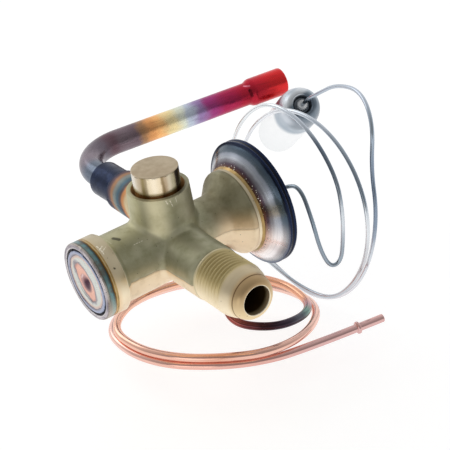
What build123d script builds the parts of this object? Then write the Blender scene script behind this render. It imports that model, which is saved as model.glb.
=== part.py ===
from build123d import *
import os
from math import cos, radians, sin, tan

# Thermostatic expansion valve with its outlet tube, external equalizer tube,
# capillary and sensing bulb. Millimetres. The origin is the middle of the inlet's
# mouth, the inlet points along -Y, the boss stands up along +Z, and the barrel
# runs along X from the welded end cap to the power head.

os.makedirs("parts", exist_ok=True)

# Clearances
RUN_CLEARANCE = 0.05
SEAT_CLEARANCE = 0.02
REST_GAP = 0.06

# Barrel, in stations along X from the barrel's centre
INLET_REACH = 52.0
BARREL_R = 12.5
COLLAR_R = 14.3
COLLAR_REACH = 29.6
COLLAR_FACE = -COLLAR_REACH
COLLAR_WIDTH = 4.2
COLLAR_TAPER = 2.2
NECK_R = 9.85
NECK_START = 0.0
NECK_RUN = 9.0
NECK_ROUND = 4.0
BELL_START = 21.4
BELL_FLARE = 6.25
BELL_R = NECK_R + BELL_FLARE
BELL_RUN = 5.7
BELL_FOOT_ROUND = 3.0
BELL_ROUND = 1.7
BELL_END = 30.8
BLEND_R = 2.4

# Boss and plug, in stations along Z
BOSS_RIM = 23.2
BOSS_R = 10.95
BOSS_DRAFT = 1.05
COUNTERBORE_R = 9.3
COUNTERBORE_DEPTH = 6.0
PLUG_R = 8.28
PLUG_PROUD = 7.4
PLUG_TOP = BOSS_RIM + PLUG_PROUD
PLUG_LENGTH = 19.6
PLUG_FOOT = PLUG_TOP - PLUG_LENGTH
PLUG_EDGE = 0.45
ACCESS_BORE_R = 6.0
PLUG_BRAZE_HEIGHT = 0.8

# Inlet arm, in distances from the barrel's axis along -Y
INLET_ROOT_R = 10.2
INLET_ARM_STEP = 0.33
INLET_ARM_CHAMFER = 0.5
THREAD_R = 19.05 / 2
THREAD_START = 29.6
THREAD_LENGTH = 14.0
INLET_COLLAR_R = 9.2
INLET_COLLAR_LENGTH = 1.3
NOSE_ROOT_R = 8.2
NOSE_LENGTH = 4.2
NOSE_FACE_R = 6.8
INLET_BORE_R = 5.17
INLET_BORE_DEPTH = 36.0
INLET_PORT_R = 4.2

# Outlet arm and sleeve, in distances from the barrel's axis along +Y
OUTLET_OFFSET = 10.1
OUTLET_ROOT_R = 8.7
OUTLET_ARM_R = 8.0
OUTLET_ARM_END = 45.8
OUTLET_SHOULDER_R = 0.6
OUTLET_BORE_R = 4.6
OUTLET_BORE_PAST = 5.0
SLEEVE_R = 7.1
SLEEVE_SOCKET = 8.2
SLEEVE_REACH = 13.0
SLEEVE_END = OUTLET_ARM_END + SLEEVE_REACH
OUTLET_BRAZE_WIDTH = 0.8

# Outlet tube
TUBE_R = 5.0
TUBE_WALL = 1.0
TUBE_SOCKET = 10.5
TUBE_RISE = 26.8
TUBE_CORNER = SLEEVE_END + TUBE_RISE
TUBE_BEND_R = 19.0
TUBE_BEND = 95.9
TUBE_RUN = 102.2
BELLED_LENGTH = 18.0
BELLED_R = 6.08
BELLED_CONE = 2.6

# Seat, cone, spring and adjusting screw, in stations along X
CHAMBER_R = 6.9
CHAMBER_END = 2.6
SCREW_R = 7.4
SCREW_RECESS = 1.0
SCREW_FACE = COLLAR_FACE + SCREW_RECESS
SCREW_LENGTH = 5.6
SCREW_SLOT = 1.4
SCREW_PILOT_R = 3.2
SCREW_PILOT_LENGTH = 2.4
SEAT_BUSH_R = 4.2
SEAT_FLANGE_R = 5.6
SEAT_FLANGE = 0.8
SEAT_BUSH_END = 6.0
ORIFICE_R = 2.2
CONE_BACK_R = 4.2
CONE_TIP_R = 1.4
CONE_SHOULDER = CHAMBER_END - SEAT_FLANGE - REST_GAP - (CONE_BACK_R - ORIFICE_R)
CONE_SHANK = 4.94
CONE_BACK = CONE_SHOULDER - CONE_SHANK
SPRING_SEAT_R = 6.5
SPRING_SEAT_BASE = 4.0
SPRING_SEAT_FACE = CONE_BACK - SPRING_SEAT_BASE
SPRING_SEAT_CUP = 1.8
SPRING_SEAT_RIM = CONE_BACK + SPRING_SEAT_CUP
SPRING_SEAT_FLOOR = 1.6
SPRING_WIRE_R = 0.6
SPRING_MEAN_R = 4.5
SPRING_TURNS = 5

# Push rod, its seal and the chamber under the diaphragm
ROD_R = 1.5
ROD_TIP_R = 1.2
ROD_STEP = OUTLET_OFFSET + OUTLET_BORE_R - RUN_CLEARANCE
PACKING_R = 3.5
PACKING_WALL = 1.6
PACKING_START = OUTLET_OFFSET + OUTLET_BORE_R + PACKING_WALL
PACKING_LENGTH = 1.8
RETAINER_LENGTH = 1.8
HEAD_CHAMBER_R = 7.2
HEAD_CHAMBER_START = PACKING_START + PACKING_LENGTH + RETAINER_LENGTH

# End cap
CAP_RING_R = 14.3
CAP_RING_BORE_R = 12.5
CAP_LEDGE_BORE_R = 10.5
CAP_REACH = 4.4
CAP_FACE = COLLAR_FACE - CAP_REACH
CAP_DISC = 3.0
CAP_LEDGE = CAP_FACE + CAP_DISC
CAP_BRAZE = 0.5
CAP_DISC_R = 11.7
CAP_STEP_R = 10.3
CAP_STEP = 0.3
CAP_CENTRE_R = 7.3
CAP_DIMPLE_R = 2.3
CAP_DIMPLE = 0.7
CAP_BEAD_DEPTH = 1.0

# Power head, stacked from the bell's face along X
HOUSING_WALL = 1.2
HOUSING_HOLE_R = 11.2
HEAD_BRAZE_STEP = 0.65
HEAD_BRAZE_R = BELL_R + HEAD_BRAZE_STEP
HEAD_BRAZE = 0.9
DISH_FOOT_STEP = 0.15
DISH_FOOT_R = HEAD_BRAZE_R + DISH_FOOT_STEP
DISH_SPREAD = 4.9
DISH_TOP_R = DISH_FOOT_R + DISH_SPREAD
DISH_DEPTH = 4.6
DISH_TOP = BELL_END + DISH_DEPTH
FLANGE_WIDTH = 2.3
FLANGE_R = DISH_TOP_R + FLANGE_WIDTH
FLANGE_INNER_STEP = 0.2
FLANGE_INNER_R = DISH_TOP_R - FLANGE_INNER_STEP
FLANGE_THICKNESS = 1.4
FLANGE_FRONT = DISH_TOP + HOUSING_WALL
FLANGE_JOINT = FLANGE_FRONT + FLANGE_THICKNESS
FLANGE_BACK = FLANGE_JOINT + FLANGE_THICKNESS
FLANGE_CHAMFER = 0.55
DIAPHRAGM = 0.25
DIAPHRAGM_MARGIN = 0.8
DIAPHRAGM_R = FLANGE_R - DIAPHRAGM_MARGIN
COVER_SHOULDER = 4.7
COVER_DOME_R = FLANGE_R - COVER_SHOULDER
COVER_HEIGHT = 3.6
COVER_DOME = FLANGE_BACK + COVER_HEIGHT
COVER_BOSS_R = 4.6
COVER_BOSS_HEIGHT = 2.4
COVER_BOSS = COVER_DOME + COVER_BOSS_HEIGHT
FERRULE_R = 2.4
FERRULE_LENGTH = 3.6
FERRULE_END = COVER_BOSS + FERRULE_LENGTH
THRUST_PLATE_R = 14.0
THRUST_PLATE = 3.2
THRUST_PLATE_FACE = FLANGE_JOINT - DIAPHRAGM / 2 - REST_GAP
THRUST_PLATE_BACK = THRUST_PLATE_FACE - THRUST_PLATE
THRUST_HUB_R = 4.0
THRUST_HUB_LENGTH = 2.2
THRUST_HUB = THRUST_PLATE_BACK - THRUST_HUB_LENGTH

# Equalizer tube
EQUALIZER_STATION = 22.0
EQUALIZER_R = 1.6
EQUALIZER_WALL = 0.6
NIPPLE_R = 3.0
NIPPLE_SINK = 1.25
NIPPLE_SEAT = NECK_R - NIPPLE_SINK
NIPPLE_LENGTH = 9.0
NIPPLE_END = NIPPLE_SEAT + NIPPLE_LENGTH
NIPPLE_TUBE_STOP = NIPPLE_SEAT + NIPPLE_LENGTH / 2
PORT_R = 1.1
BEAD_R = 2.4
BEAD_WIDTH = 1.6
BEAD_FROM_END = 10.9

# Capillary and bulb
CAPILLARY_R = 0.8
BULB_R = 9.0
BULB_LENGTH = 58.0
BULB_SHOULDER = 4.6
BULB_NOSE = 5.6
BULB_CROWN_R = 4.6
BULB_RECESS_R = 3.2
BULB_RECESS = 2.6
BULB_NIPPLE_R = 2.25
BULB_NIPPLE_FACE = 0.4
BULB_NIPPLE_END = 1.0
BULB_LEAD = 7.0
BULB_DIRECTION = Vector(0.27, 0.75, -0.60)

# Routes are lists of (x, y, z) steps of this length from the barrel's centre
ROUTE_LENGTH = 1.0

# Planes: local x runs along each axis, local y is the radius
CENTRE = Vector(0, INLET_REACH, 0)
BULB_FRONT = CENTRE + Vector(95.3, 39.2, 6.0) * ROUTE_LENGTH
OUTLET_FOOT = CENTRE + Vector(OUTLET_OFFSET, 0, 0)
BARREL = Plane(origin=CENTRE, x_dir=(1, 0, 0), z_dir=(0, -1, 0))
BOSS = Plane(origin=CENTRE, x_dir=(0, 0, 1), z_dir=(0, 1, 0))
INLET = Plane(origin=CENTRE, x_dir=(0, -1, 0), z_dir=(0, 0, 1))
OUTLET = Plane(origin=OUTLET_FOOT, x_dir=(0, 1, 0), z_dir=(0, 0, -1))
NIPPLE = Plane(
    origin=CENTRE + Vector(EQUALIZER_STATION, 0, 0), x_dir=(0, 0, -1), z_dir=(0, -1, 0)
)
BULB = Plane(origin=BULB_FRONT, x_dir=BULB_DIRECTION, z_dir=Vector(0, 0, 1).cross(BULB_DIRECTION))


def section(plane, outline):
    """A closed outline of (station, radius) points beside the plane's x axis, as a face."""
    with BuildSketch(plane) as half:
        with BuildLine():
            Polyline(*outline, close=True)
        make_face()
    return half.sketch


def ring(plane, start, end, inner_r, outer_r):
    """The section of a plain ring, bore or disc between two stations."""
    return section(plane, [(start, inner_r), (start, outer_r), (end, outer_r), (end, inner_r)])


def axis_of(plane):
    """The axis that a section on this plane is turned about."""
    return Axis(plane.origin, plane.x_dir)


def bend_radii(points, share=0.45):
    """The largest tangent arcs that the runs beside each corner leave room for."""
    radii = []
    for before, corner, after in zip(points, points[1:], points[2:]):
        arriving = Vector(corner) - Vector(before)
        leaving = Vector(after) - Vector(corner)
        half_turn = radians(arriving.get_angle(leaving)) / 2
        radii.append(share * min(arriving.length, leaving.length) / tan(half_turn))
    return radii


# Valve body: one brass forging, bored and threaded
bell_top = BELL_START + BELL_RUN
thread_end = THREAD_START + THREAD_LENGTH
nose_root = INLET_REACH - NOSE_LENGTH

with BuildPart() as valve_body:
    with BuildSketch(BARREL):
        with BuildLine():
            Polyline(
                (BELL_END, BELL_R),
                (BELL_END, 0),
                (COLLAR_FACE, 0),
                (COLLAR_FACE, COLLAR_R),
                (COLLAR_FACE + COLLAR_WIDTH, COLLAR_R),
                (COLLAR_FACE + COLLAR_WIDTH + COLLAR_TAPER, BARREL_R),
            )
            FilletPolyline(
                (COLLAR_FACE + COLLAR_WIDTH + COLLAR_TAPER, BARREL_R),
                (NECK_START, BARREL_R),
                (NECK_START + NECK_RUN, NECK_R),
                (BELL_START, NECK_R),
                (bell_top, BELL_R),
                (BELL_END, BELL_R),
                radius=[NECK_ROUND, NECK_ROUND, BELL_FOOT_ROUND, BELL_ROUND],
            )
        make_face()
    revolve(axis=axis_of(BARREL))
    revolve(
        section(BOSS, [(0, 0), (0, BOSS_R + BOSS_DRAFT), (BOSS_RIM, BOSS_R), (BOSS_RIM, 0)]),
        axis=axis_of(BOSS),
    )
    revolve(
        section(
            INLET,
            [
                (0, 0),
                (0, INLET_ROOT_R),
                (THREAD_START - INLET_ARM_CHAMFER, THREAD_R + INLET_ARM_STEP),
                (THREAD_START, THREAD_R),
                (THREAD_START, 0),
            ],
        ),
        axis=axis_of(INLET),
    )
    revolve(
        section(
            OUTLET,
            [(0, 0), (0, OUTLET_ROOT_R), (OUTLET_ARM_END, OUTLET_ARM_R), (OUTLET_ARM_END, 0)],
        ),
        axis=axis_of(OUTLET),
    )
    blends = valve_body.edges().filter_by(
        lambda edge: edge.geom_type not in (GeomType.CIRCLE, GeomType.LINE)
    )
    fillet(blends, BLEND_R)
    rim = valve_body.faces().sort_by(Axis.Y)[-1].edges()
    fillet(rim, OUTLET_SHOULDER_R)
    revolve(
        section(
            INLET,
            [
                (THREAD_START, 0),
                (THREAD_START, THREAD_R),
                (thread_end, THREAD_R),
                (thread_end, INLET_COLLAR_R),
                (thread_end + INLET_COLLAR_LENGTH, INLET_COLLAR_R),
                (nose_root, NOSE_ROOT_R),
                (INLET_REACH, NOSE_FACE_R),
                (INLET_REACH, 0),
            ],
        ),
        axis=axis_of(INLET),
    )
    # Spring chamber and seat bore, from the cap's side
    revolve(
        section(
            BARREL,
            [
                (COLLAR_FACE, 0),
                (COLLAR_FACE, SCREW_R + SEAT_CLEARANCE),
                (SCREW_FACE + SCREW_LENGTH + SCREW_PILOT_LENGTH, SCREW_R + SEAT_CLEARANCE),
                (SCREW_FACE + SCREW_LENGTH + SCREW_PILOT_LENGTH, CHAMBER_R),
                (CHAMBER_END, CHAMBER_R),
                (CHAMBER_END, SEAT_BUSH_R + SEAT_CLEARANCE),
                (OUTLET_OFFSET, SEAT_BUSH_R + SEAT_CLEARANCE),
                (OUTLET_OFFSET, 0),
            ],
        ),
        axis=axis_of(BARREL),
        mode=Mode.SUBTRACT,
    )
    # Rod guide, packing pocket and head chamber, from the head's side
    revolve(
        section(
            BARREL,
            [
                (OUTLET_OFFSET, 0),
                (OUTLET_OFFSET, ROD_R + RUN_CLEARANCE),
                (PACKING_START, ROD_R + RUN_CLEARANCE),
                (PACKING_START, PACKING_R + SEAT_CLEARANCE),
                (HEAD_CHAMBER_START, PACKING_R + SEAT_CLEARANCE),
                (HEAD_CHAMBER_START, HEAD_CHAMBER_R),
                (BELL_END, HEAD_CHAMBER_R),
                (BELL_END, 0),
            ],
        ),
        axis=axis_of(BARREL),
        mode=Mode.SUBTRACT,
    )
    # Boss: access bore, plug seat and counterbore
    revolve(
        section(
            BOSS,
            [
                (0, 0),
                (0, ACCESS_BORE_R),
                (PLUG_FOOT, ACCESS_BORE_R),
                (PLUG_FOOT, PLUG_R + SEAT_CLEARANCE),
                (BOSS_RIM - COUNTERBORE_DEPTH, PLUG_R + SEAT_CLEARANCE),
                (BOSS_RIM - COUNTERBORE_DEPTH, COUNTERBORE_R),
                (BOSS_RIM, COUNTERBORE_R),
                (BOSS_RIM, 0),
            ],
        ),
        axis=axis_of(BOSS),
        mode=Mode.SUBTRACT,
    )
    # Inlet bore, stepped down to the port into the spring chamber
    inlet_step = INLET_REACH - INLET_BORE_DEPTH
    revolve(
        section(
            INLET,
            [
                (0, 0),
                (0, INLET_PORT_R),
                (inlet_step, INLET_PORT_R),
                (inlet_step, INLET_BORE_R),
                (INLET_REACH, INLET_BORE_R),
                (INLET_REACH, 0),
            ],
        ),
        axis=axis_of(INLET),
        mode=Mode.SUBTRACT,
    )
    # Outlet bore and the sleeve's socket
    revolve(
        section(
            OUTLET,
            [
                (-OUTLET_BORE_PAST, 0),
                (-OUTLET_BORE_PAST, OUTLET_BORE_R),
                (OUTLET_ARM_END - SLEEVE_SOCKET, OUTLET_BORE_R),
                (OUTLET_ARM_END - SLEEVE_SOCKET, SLEEVE_R + SEAT_CLEARANCE),
                (OUTLET_ARM_END, SLEEVE_R + SEAT_CLEARANCE),
                (OUTLET_ARM_END, 0),
            ],
        ),
        axis=axis_of(OUTLET),
        mode=Mode.SUBTRACT,
    )
    # Equalizer port and the nipple's socket
    revolve(
        section(
            NIPPLE,
            [
                (PACKING_R, 0),
                (PACKING_R, PORT_R),
                (NIPPLE_SEAT, PORT_R),
                (NIPPLE_SEAT, NIPPLE_R + SEAT_CLEARANCE),
                (NIPPLE_END, NIPPLE_R + SEAT_CLEARANCE),
                (NIPPLE_END, 0),
            ],
        ),
        axis=axis_of(NIPPLE),
        mode=Mode.SUBTRACT,
    )
valve_body.part.label = "valve_body"
export_step(valve_body.part, "parts/valve_body.step")

# Plug that closes the boss, and the braze at its foot
with BuildPart() as boss_plug:
    revolve(ring(BOSS, PLUG_FOOT, PLUG_TOP, 0, PLUG_R), axis=axis_of(BOSS))
    chamfer(boss_plug.faces().sort_by(Axis.Z)[-1].edges(), PLUG_EDGE)
boss_plug.part.label = "boss_plug"
export_step(boss_plug.part, "parts/boss_plug.step")

counterbore_floor = BOSS_RIM - COUNTERBORE_DEPTH

with BuildPart() as plug_braze_ring:
    revolve(
        section(
            BOSS,
            [
                (counterbore_floor, PLUG_R),
                (counterbore_floor, COUNTERBORE_R),
                (counterbore_floor + PLUG_BRAZE_HEIGHT / 2, (PLUG_R + COUNTERBORE_R) / 2),
                (counterbore_floor + PLUG_BRAZE_HEIGHT, PLUG_R),
            ],
        ),
        axis=axis_of(BOSS),
    )
plug_braze_ring.part.label = "plug_braze_ring"
export_step(plug_braze_ring.part, "parts/plug_braze_ring.step")

# End cap: braze, steel ring, stepped disc and the weld between them
with BuildPart() as cap_braze_ring:
    revolve(
        ring(BARREL, COLLAR_FACE - CAP_BRAZE, COLLAR_FACE, CAP_LEDGE_BORE_R, COLLAR_R),
        axis=axis_of(BARREL),
    )
cap_braze_ring.part.label = "cap_braze_ring"
export_step(cap_braze_ring.part, "parts/cap_braze_ring.step")

with BuildPart() as cap_ring:
    revolve(
        section(
            BARREL,
            [
                (COLLAR_FACE - CAP_BRAZE, CAP_LEDGE_BORE_R),
                (COLLAR_FACE - CAP_BRAZE, CAP_RING_R),
                (CAP_FACE, CAP_RING_R),
                (CAP_FACE, CAP_RING_BORE_R),
                (CAP_LEDGE, CAP_RING_BORE_R),
                (CAP_LEDGE, CAP_LEDGE_BORE_R),
            ],
        ),
        axis=axis_of(BARREL),
    )
    chamfer(cap_ring.edges().filter_by(GeomType.CIRCLE).group_by(Axis.X)[0], CAP_STEP)
cap_ring.part.label = "cap_ring"
export_step(cap_ring.part, "parts/cap_ring.step")

with BuildPart() as end_cap:
    revolve(
        section(
            BARREL,
            [
                (CAP_LEDGE, 0),
                (CAP_LEDGE, CAP_DISC_R),
                (CAP_FACE + CAP_STEP, CAP_DISC_R),
                (CAP_FACE, CAP_DISC_R - CAP_STEP),
                (CAP_FACE, CAP_STEP_R + CAP_STEP),
                (CAP_FACE + CAP_STEP, CAP_STEP_R),
                (CAP_FACE + CAP_STEP, CAP_CENTRE_R + CAP_STEP),
                (CAP_FACE + 2 * CAP_STEP, CAP_CENTRE_R),
                (CAP_FACE + 2 * CAP_STEP, CAP_DIMPLE_R),
                (CAP_FACE + 2 * CAP_STEP + CAP_DIMPLE, 0),
            ],
        ),
        axis=axis_of(BARREL),
    )
end_cap.part.label = "end_cap"
export_step(end_cap.part, "parts/end_cap.step")

with BuildPart() as cap_weld_bead:
    revolve(
        section(
            BARREL,
            [
                (CAP_LEDGE, CAP_DISC_R),
                (CAP_LEDGE, CAP_RING_BORE_R),
                (CAP_FACE + CAP_BEAD_DEPTH, CAP_RING_BORE_R),
                (CAP_FACE + CAP_BEAD_DEPTH + CAP_STEP, (CAP_DISC_R + CAP_RING_BORE_R) / 2),
                (CAP_FACE + CAP_BEAD_DEPTH, CAP_DISC_R),
            ],
        ),
        axis=axis_of(BARREL),
    )
cap_weld_bead.part.label = "cap_weld_bead"
export_step(cap_weld_bead.part, "parts/cap_weld_bead.step")

# Adjusting screw: slotted outside, with a pilot that centres the spring
screw_end = SCREW_FACE + SCREW_LENGTH

with BuildPart() as adjusting_screw:
    revolve(
        section(
            BARREL,
            [
                (SCREW_FACE, 0),
                (SCREW_FACE, SCREW_R),
                (screw_end, SCREW_R),
                (screw_end, SCREW_PILOT_R),
                (screw_end + SCREW_PILOT_LENGTH, SCREW_PILOT_R),
                (screw_end + SCREW_PILOT_LENGTH, 0),
            ],
        ),
        axis=axis_of(BARREL),
    )
    with BuildSketch(Plane.YZ.offset(SCREW_FACE)):
        with Locations((INLET_REACH, 0)):
            Rectangle(2 * SCREW_R, SCREW_SLOT)
    extrude(amount=SCREW_SLOT, mode=Mode.SUBTRACT)
adjusting_screw.part.label = "adjusting_screw"
export_step(adjusting_screw.part, "parts/adjusting_screw.step")

# Spring, from the screw to the spring seat
spring_length = SPRING_SEAT_FACE - screw_end
spring_pitch = (spring_length - 2 * SPRING_WIRE_R) / SPRING_TURNS

with BuildPart() as superheat_spring:
    with BuildLine() as coil:
        Helix(
            pitch=spring_pitch,
            height=spring_length - 2 * SPRING_WIRE_R,
            radius=SPRING_MEAN_R,
            center=CENTRE + Vector(screw_end + SPRING_WIRE_R, 0, 0),
            direction=(1, 0, 0),
        )
    with BuildSketch(Plane(origin=coil.line @ 0, z_dir=coil.line % 0)):
        Circle(SPRING_WIRE_R)
    sweep(path=coil.line, is_frenet=True)
superheat_spring.part.label = "superheat_spring"
export_step(superheat_spring.part, "parts/superheat_spring.step")

# Spring seat: a cup whose rim holds the back of the cone
with BuildPart() as spring_seat:
    revolve(
        section(
            BARREL,
            [
                (SPRING_SEAT_FACE, 0),
                (SPRING_SEAT_FACE, SPRING_SEAT_R),
                (SPRING_SEAT_FACE + SPRING_SEAT_FLOOR, SPRING_SEAT_R),
                (SPRING_SEAT_RIM, SPRING_SEAT_R - SPRING_SEAT_FLOOR / 2),
                (SPRING_SEAT_RIM, CONE_BACK_R),
                (CONE_BACK, CONE_BACK_R),
                (CONE_BACK, 0),
            ],
        ),
        axis=axis_of(BARREL),
    )
spring_seat.part.label = "spring_seat"
export_step(spring_seat.part, "parts/spring_seat.step")

# Cone: closes the orifice from the spring's side
seat_face = CHAMBER_END - SEAT_FLANGE
cone_tip = CONE_SHOULDER + (CONE_BACK_R - CONE_TIP_R)

with BuildPart() as valve_cone:
    revolve(
        section(
            BARREL,
            [
                (CONE_BACK, 0),
                (CONE_BACK, CONE_BACK_R),
                (CONE_SHOULDER, CONE_BACK_R),
                (cone_tip, CONE_TIP_R),
                (cone_tip, 0),
            ],
        ),
        axis=axis_of(BARREL),
    )
valve_cone.part.label = "valve_cone"
export_step(valve_cone.part, "parts/valve_cone.step")

# Orifice seat: a flanged bush pressed into the body
with BuildPart() as orifice_seat:
    revolve(
        section(
            BARREL,
            [
                (seat_face, ORIFICE_R),
                (seat_face, SEAT_FLANGE_R),
                (CHAMBER_END, SEAT_FLANGE_R),
                (CHAMBER_END, SEAT_BUSH_R),
                (SEAT_BUSH_END, SEAT_BUSH_R),
                (SEAT_BUSH_END, ORIFICE_R),
            ],
        ),
        axis=axis_of(BARREL),
    )
orifice_seat.part.label = "orifice_seat"
export_step(orifice_seat.part, "parts/orifice_seat.step")

# Push rod: slim where it passes the orifice, full size in its guide
with BuildPart() as push_rod:
    revolve(
        section(
            BARREL,
            [
                (cone_tip, 0),
                (cone_tip, ROD_TIP_R),
                (ROD_STEP - (ROD_R - ROD_TIP_R), ROD_TIP_R),
                (ROD_STEP, ROD_R),
                (THRUST_PLATE_BACK, ROD_R),
                (THRUST_PLATE_BACK, 0),
            ],
        ),
        axis=axis_of(BARREL),
    )
push_rod.part.label = "push_rod"
export_step(push_rod.part, "parts/push_rod.step")

# Packing round the rod, and the bush that keeps it in its pocket
packing_end = PACKING_START + PACKING_LENGTH

with BuildPart() as rod_seal:
    revolve(
        ring(BARREL, PACKING_START, packing_end, ROD_R + RUN_CLEARANCE, PACKING_R),
        axis=axis_of(BARREL),
    )
rod_seal.part.label = "rod_seal"
export_step(rod_seal.part, "parts/rod_seal.step")

with BuildPart() as seal_retainer:
    revolve(
        ring(BARREL, packing_end, packing_end + RETAINER_LENGTH, ROD_R + RUN_CLEARANCE, PACKING_R),
        axis=axis_of(BARREL),
    )
seal_retainer.part.label = "seal_retainer"
export_step(seal_retainer.part, "parts/seal_retainer.step")

# Thrust plate: carries the diaphragm's push to the rod
with BuildPart() as thrust_plate:
    revolve(
        section(
            BARREL,
            [
                (THRUST_HUB, ROD_R),
                (THRUST_HUB, THRUST_HUB_R),
                (THRUST_PLATE_BACK, THRUST_HUB_R + HOUSING_WALL),
                (THRUST_PLATE_BACK, THRUST_PLATE_R - HOUSING_WALL),
                (THRUST_PLATE_BACK + HOUSING_WALL, THRUST_PLATE_R),
                (THRUST_PLATE_FACE, THRUST_PLATE_R),
                (THRUST_PLATE_FACE, 0),
                (THRUST_PLATE_BACK, 0),
                (THRUST_PLATE_BACK, ROD_R),
            ],
        ),
        axis=axis_of(BARREL),
    )
thrust_plate.part.label = "thrust_plate"
export_step(thrust_plate.part, "parts/thrust_plate.step")

# Power head: braze, dished housing, diaphragm, back cover and rim weld
with BuildPart() as head_braze_ring:
    revolve(
        section(
            BARREL,
            [
                (BELL_END - HEAD_BRAZE, BELL_R),
                (BELL_END, HEAD_BRAZE_R),
                (BELL_END, BELL_R),
            ],
        ),
        axis=axis_of(BARREL),
    )
head_braze_ring.part.label = "head_braze_ring"
export_step(head_braze_ring.part, "parts/head_braze_ring.step")

joint_front = FLANGE_JOINT - DIAPHRAGM / 2
joint_back = FLANGE_JOINT + DIAPHRAGM / 2

with BuildPart() as lower_diaphragm_housing:
    with BuildSketch(BARREL):
        with BuildLine():
            Polyline(
                (BELL_END + HOUSING_WALL / 2, DISH_FOOT_R),
                (BELL_END, DISH_FOOT_R - HOUSING_WALL / 2),
                (BELL_END, HOUSING_HOLE_R),
                (BELL_END + HOUSING_WALL, HOUSING_HOLE_R),
                (BELL_END + HOUSING_WALL, DISH_FOOT_R - HOUSING_WALL),
                (DISH_TOP + HOUSING_WALL / 2, DISH_TOP_R - HOUSING_WALL),
                (joint_front, FLANGE_INNER_R),
                (joint_front, FLANGE_R - FLANGE_CHAMFER),
                (joint_front - FLANGE_CHAMFER, FLANGE_R),
                (FLANGE_FRONT, FLANGE_R),
                (FLANGE_FRONT, DISH_TOP_R + HOUSING_WALL),
                (DISH_TOP, DISH_TOP_R),
            )
            ThreePointArc(
                (DISH_TOP, DISH_TOP_R),
                (
                    (DISH_TOP + BELL_END) / 2 - HOUSING_WALL / 6,
                    (DISH_TOP_R + DISH_FOOT_R) / 2 + HOUSING_WALL / 3,
                ),
                (BELL_END + HOUSING_WALL / 2, DISH_FOOT_R),
            )
        make_face()
    revolve(axis=axis_of(BARREL))
lower_diaphragm_housing.part.label = "lower_diaphragm_housing"
export_step(lower_diaphragm_housing.part, "parts/lower_diaphragm_housing.step")

with BuildPart() as diaphragm:
    revolve(ring(BARREL, joint_front, joint_back, 0, DIAPHRAGM_R), axis=axis_of(BARREL))
diaphragm.part.label = "diaphragm"
export_step(diaphragm.part, "parts/diaphragm.step")

with BuildPart() as upper_diaphragm_cover:
    revolve(
        section(
            BARREL,
            [
                (joint_back, FLANGE_INNER_R),
                (joint_back, FLANGE_R - FLANGE_CHAMFER),
                (joint_back + FLANGE_CHAMFER, FLANGE_R),
                (FLANGE_BACK, FLANGE_R),
                (FLANGE_BACK, COVER_DOME_R + HOUSING_WALL),
                (COVER_DOME - HOUSING_WALL, COVER_DOME_R),
                (COVER_DOME, COVER_DOME_R - HOUSING_WALL),
                (COVER_DOME, COVER_BOSS_R + HOUSING_WALL / 2),
                (COVER_BOSS, COVER_BOSS_R),
                (COVER_BOSS, CAPILLARY_R + SEAT_CLEARANCE),
                (COVER_DOME - HOUSING_WALL, CAPILLARY_R + SEAT_CLEARANCE),
                (COVER_DOME - HOUSING_WALL, COVER_DOME_R - 2 * HOUSING_WALL),
                (FLANGE_BACK - HOUSING_WALL / 2, COVER_DOME_R - HOUSING_WALL / 2),
            ],
        ),
        axis=axis_of(BARREL),
    )
upper_diaphragm_cover.part.label = "upper_diaphragm_cover"
export_step(upper_diaphragm_cover.part, "parts/upper_diaphragm_cover.step")

with BuildPart() as rim_weld_bead:
    revolve(
        section(
            BARREL,
            [
                (joint_front, FLANGE_R - FLANGE_CHAMFER),
                (joint_front - FLANGE_CHAMFER / 2, FLANGE_R - FLANGE_CHAMFER / 2),
                (joint_back + FLANGE_CHAMFER / 2, FLANGE_R - FLANGE_CHAMFER / 2),
                (joint_back, FLANGE_R - FLANGE_CHAMFER),
            ],
        ),
        axis=axis_of(BARREL),
    )
rim_weld_bead.part.label = "rim_weld_bead"
export_step(rim_weld_bead.part, "parts/rim_weld_bead.step")

# Ferrule that carries the capillary into the back cover
with BuildPart() as capillary_ferrule:
    revolve(
        section(
            BARREL,
            [
                (COVER_BOSS, CAPILLARY_R + SEAT_CLEARANCE),
                (COVER_BOSS, COVER_BOSS_R - HOUSING_WALL),
                (COVER_BOSS + HOUSING_WALL / 2, FERRULE_R),
                (FERRULE_END - HOUSING_WALL, FERRULE_R),
                (FERRULE_END, CAPILLARY_R + HOUSING_WALL / 4),
                (FERRULE_END, CAPILLARY_R + SEAT_CLEARANCE),
            ],
        ),
        axis=axis_of(BARREL),
    )
capillary_ferrule.part.label = "capillary_ferrule"
export_step(capillary_ferrule.part, "parts/capillary_ferrule.step")

# Outlet sleeve, its brazes and the outlet tube
sleeve_start = OUTLET_ARM_END - SLEEVE_SOCKET
tube_start = SLEEVE_END - TUBE_SOCKET

with BuildPart() as outlet_sleeve:
    revolve(
        section(
            OUTLET,
            [
                (sleeve_start, OUTLET_BORE_R),
                (sleeve_start, SLEEVE_R),
                (SLEEVE_END, SLEEVE_R),
                (SLEEVE_END, TUBE_R + SEAT_CLEARANCE),
                (tube_start, TUBE_R + SEAT_CLEARANCE),
                (tube_start, OUTLET_BORE_R),
            ],
        ),
        axis=axis_of(OUTLET),
    )
outlet_sleeve.part.label = "outlet_sleeve"
export_step(outlet_sleeve.part, "parts/outlet_sleeve.step")

with BuildPart() as outlet_braze_ring:
    revolve(
        section(
            OUTLET,
            [
                (OUTLET_ARM_END, SLEEVE_R),
                (OUTLET_ARM_END, OUTLET_ARM_R - OUTLET_SHOULDER_R),
                (OUTLET_ARM_END + OUTLET_BRAZE_WIDTH, SLEEVE_R),
            ],
        ),
        axis=axis_of(OUTLET),
    )
outlet_braze_ring.part.label = "outlet_braze_ring"
export_step(outlet_braze_ring.part, "parts/outlet_braze_ring.step")

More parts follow.
